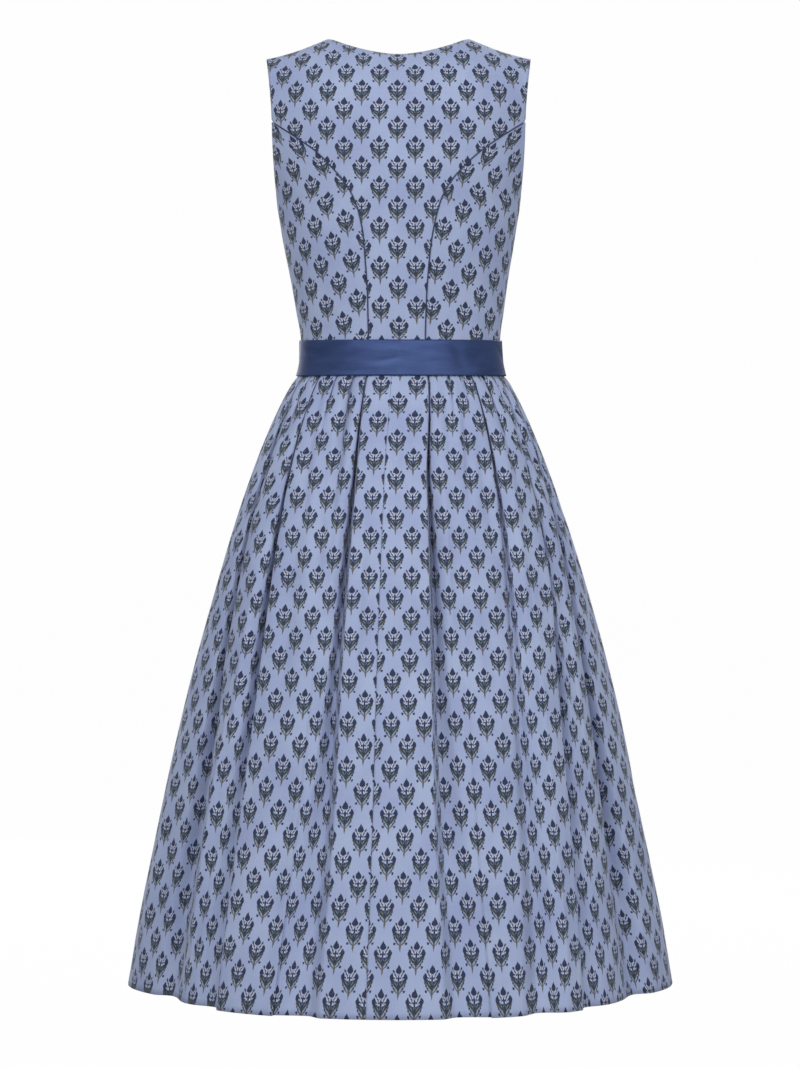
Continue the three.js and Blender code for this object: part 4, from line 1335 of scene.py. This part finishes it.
def bodice_flats(points, shares, heights, lay):
    flats = []
    above = [0] * len(points[0])
    for i, row in enumerate(points):
        lengths = [0]
        for a, b in zip(row, row[1:]):
            lengths.append(lengths[-1] + (b - a).length)
        middle = lengths[-1] / 2
        if lay["from_centre"]:
            k = max(range(len(row)), key=lambda j: -abs(shares[i][j]))
            per_share = lengths[-1] / (shares[i][-1] - shares[i][0])
            middle = lengths[k] - shares[i][k] * per_share
        flat_row = []
        for j, point in enumerate(row):
            if i and heights[i] > YOKE_Z:
                above[j] += (point - points[i - 1][j]).length
            u = lengths[j] - middle
            v = min(heights[i], YOKE_Z) + above[j]
            up = lay["up"] + lay["rise"] * u
            flat_row.append((u * PRINT_DRAWN_IN + lay["across"], v * PRINT_EASED + up))
        flats.append(flat_row)
    return flats


def bodice_sheet(name, half, heights, start, end, width, lay):
    count = round(width / BODICE_CELL)
    points = []
    shares = []
    for height in heights:
        a, b = start(height), end(height)
        shares.append([a + (b - a) * j / count for j in range(count + 1)])
        points.append([bodice_point(half, share, height) for share in shares[-1]])
    flats = bodice_flats(points, shares, heights, lay)
    return sheet_object(name, points, flats, COTTON, [print_cotton, print_reverse])


# %% How the print lies on each bodice panel
LAYS = table(
    ("node", "across", "up", "rise", "from_centre"),
    ("bodice_back_centre", 0.0017, 0.1431 + FLOWER_TOP, 0, True),
    ("bodice_back_side_left", -0.0145, 0.217 + FLOWER_TOP, -0.135, False),
    ("bodice_back_side_right", 0, 0.203 + FLOWER_TOP, 0.135, False),
    ("bodice_front_side_left", 0, 0.21, 0.135, False),
    ("bodice_front_side_right", 0, 0.21, -0.135, False),
    ("bodice_front_centre_left", 0.012, 0.14, 0, True),
    ("bodice_front_centre_right", -0.012, 0.14, 0, True),
)
lay_of = {lay["node"]: lay for lay in LAYS}
PANEL_KINDS = {
    "back": {"width": 0.34, "flat": (0.36, 0.43)},
    "side": {"width": 0.16, "flat": (0.17, 0.31)},
    "front": {"width": 0.17, "flat": (0.2, 0.43)},
}
CENTRE_FRONT = 0.0005
SIDE_TOP_GAP = 0.001


def side_share(half, key):
    return (key == "right") == (half["sign"] < 0)


def bodice_panel(node, kind, half, top, start, end):
    facts = PANEL_KINDS[kind]
    heights = bodice_heights(top)
    piece = bodice_sheet(node + "_cloth", half, heights, start, end, facts["width"], lay_of[node])
    place_piece(piece, node)
    area = flat_size(piece)
    print(node, "has", round(area, 4), "square metres of cloth")


# %% The seven panels
def seam_share(half, key):
    return lambda h: princess_share(half, key, h)


def half_panel(node, kind, half, key, top, inner, outer):
    if side_share(half, key):
        bodice_panel(node, kind, half, top, inner, outer)
    else:
        bodice_panel(node, kind, half, top, lambda h: -outer(h), lambda h: -inner(h))


bodice_panel(
    "bodice_back_centre", "back", BACK, 0,
    lambda h: -princess_share(BACK, "left", h), lambda h: princess_share(BACK, "right", h))
side_top = PRINCESS_TOP_Z - SIDE_TOP_GAP
for key in ("left", "right"):
    for half, label in ((BACK, "back"), (FRONT, "front")):
        seam = seam_share(half, key)
        half_panel(f"bodice_{label}_side_{key}", "side", half, key, side_top, seam, lambda h: 1)
    seam = seam_share(FRONT, key)
    node = f"bodice_front_centre_{key}"
    half_panel(node, "front", FRONT, key, 0, lambda h: CENTRE_FRONT, seam)


# %% Waist band
BAND_CREASES = table(
    ("at", "up", "long", "wide", "slant", "high"),
    (-46, -0.002, 0.022, 0.008, 62, -0.0011),
    (-33, 0.004, 0.02, 0.006, 48, 0.0006),
    (-22, -0.008, 0.026, 0.006, -6, 0.0004),
    (-8, -0.003, 0.018, 0.003, 12, -0.0005),
    (6, 0.009, 0.03, 0.005, -4, 0.0004),
    (19, -0.005, 0.016, 0.003, 8, -0.0005),
    (34, 0.002, 0.02, 0.008, -72, -0.0011),
    (52, -0.003, 0.02, 0.006, 40, 0.0007),
    (78, 0.004, 0.022, 0.005, -28, -0.0008),
    (104, -0.005, 0.026, 0.005, 16, 0.0007),
    (135, 0.005, 0.024, 0.006, -66, 0.0008),
    (163, -0.004, 0.02, 0.004, 20, -0.0007),
    (188, 0.004, 0.026, 0.005, -9, 0.0006),
    (214, -0.006, 0.02, 0.007, 60, -0.0009),
    (243, 0.005, 0.024, 0.0045, -14, 0.0007),
    (272, -0.003, 0.022, 0.006, 55, -0.0009),
    (296, 0.004, 0.018, 0.005, -25, 0.0007),
)
BAND_RADIUS = 0.118
BAND_OUT = 0.0022
BAND_COLUMNS = 320
BAND_ROWS = 24


def band_crease(degrees, z):
    height = 0
    for crease in BAND_CREASES:
        across = math.radians((degrees - crease["at"] + 180) % 360 - 180) * BAND_RADIUS
        above = z - WAIST_SEAM_Z - crease["up"]
        slant = math.radians(crease["slant"])
        along = (across * math.cos(slant) + above * math.sin(slant)) / crease["long"]
        beside = (above * math.cos(slant) - across * math.sin(slant)) / crease["wide"]
        height += crease["high"] * math.exp(-along * along - beside * beside)
    return height


def ring_sheet(name, heights, out, columns, thickness, finishes):
    points = []
    for z in heights:
        ring = section(z)
        row = []
        for j in range(columns + 1):
            degrees = 360 * j / columns
            tangent = ring(degrees + SIDE_STEP) - ring(degrees - SIDE_STEP)
            outward = Vector((tangent.y, -tangent.x, 0)).normalized()
            row.append(ring(degrees) + outward * (out + band_crease(degrees, z)))
        points.append(row)
    flats = []
    for row in points:
        lengths = [0]
        for a, b in zip(row, row[1:]):
            lengths.append(lengths[-1] + (b - a).length)
        flats.append([(length, row[0].z) for length in lengths])
    return sheet_object(name, points, flats, thickness, finishes, ring=True)


band_high = BAND_TOP_Z - BAND_BOTTOM_Z
band_heights = [BAND_BOTTOM_Z + band_high * i / BAND_ROWS for i in range(BAND_ROWS + 1)]
satins = [navy_satin, navy_satin]
band = ring_sheet("waist_band_satin", band_heights, BAND_OUT, BAND_COLUMNS, SATIN, satins)
place_piece(band, "waist_band")
print("band round the waist:", BAND_ROWS + 1, "rows,", BAND_COLUMNS, "columns")

# %% [markdown]
# ## The piping
#
# A fine cord in navy cotton is sewn into each princess seam of the back. It is a curve with a
# round bevel, which follows the seam a little above the cloth, as the cord in it lifts it.

# %% Piping
CORD_RADIUS = 0.0008
CORD_LIFT = 0.0006
CORD_STEPS = 90
CORD_ENDS = {"band": 0.0005, "armhole": 0.003}
SHARE_STEP = 0.004
HEIGHT_STEP = 0.0004


def seam_place(side, key, height):
    share = side * princess_share(BACK, key, height)
    here = bodice_point(BACK, share, height)
    across = bodice_point(BACK, share + SHARE_STEP, height)
    across -= bodice_point(BACK, share - SHARE_STEP, height)
    up = bodice_point(BACK, share, height + HEIGHT_STEP)
    up -= bodice_point(BACK, share, height - HEIGHT_STEP)
    return here + across.cross(up).normalized() * CORD_LIFT


for key in ("left", "right"):
    side = 1 if side_share(BACK, key) else -1
    path = bpy.data.curves.new(f"back_piping_{key}_cord", "CURVE")
    path.dimensions = "3D"
    path.bevel_depth = CORD_RADIUS
    path.bevel_resolution = 3
    path.use_fill_caps = True
    low = BAND_TOP_Z + CORD_ENDS["band"]
    run = PRINCESS_TOP_Z - CORD_ENDS["armhole"] - BAND_TOP_Z
    places = [seam_place(side, key, low + run * i / CORD_STEPS) for i in range(CORD_STEPS + 1)]
    line = path.splines.new("POLY")
    line.points.add(CORD_STEPS)
    for corner, place in zip(line.points, places):
        corner.co = (*place, 1)
    cord = bpy.data.objects.new(f"back_piping_{key}_cord", path)
    scene.collection.objects.link(cord)
    path.materials.append(navy_piping)
    place_piece(cord, f"back_piping_{key}")
    print(cord.name, round(sum((b - a).length for a, b in zip(places, places[1:])), 3), "m long")
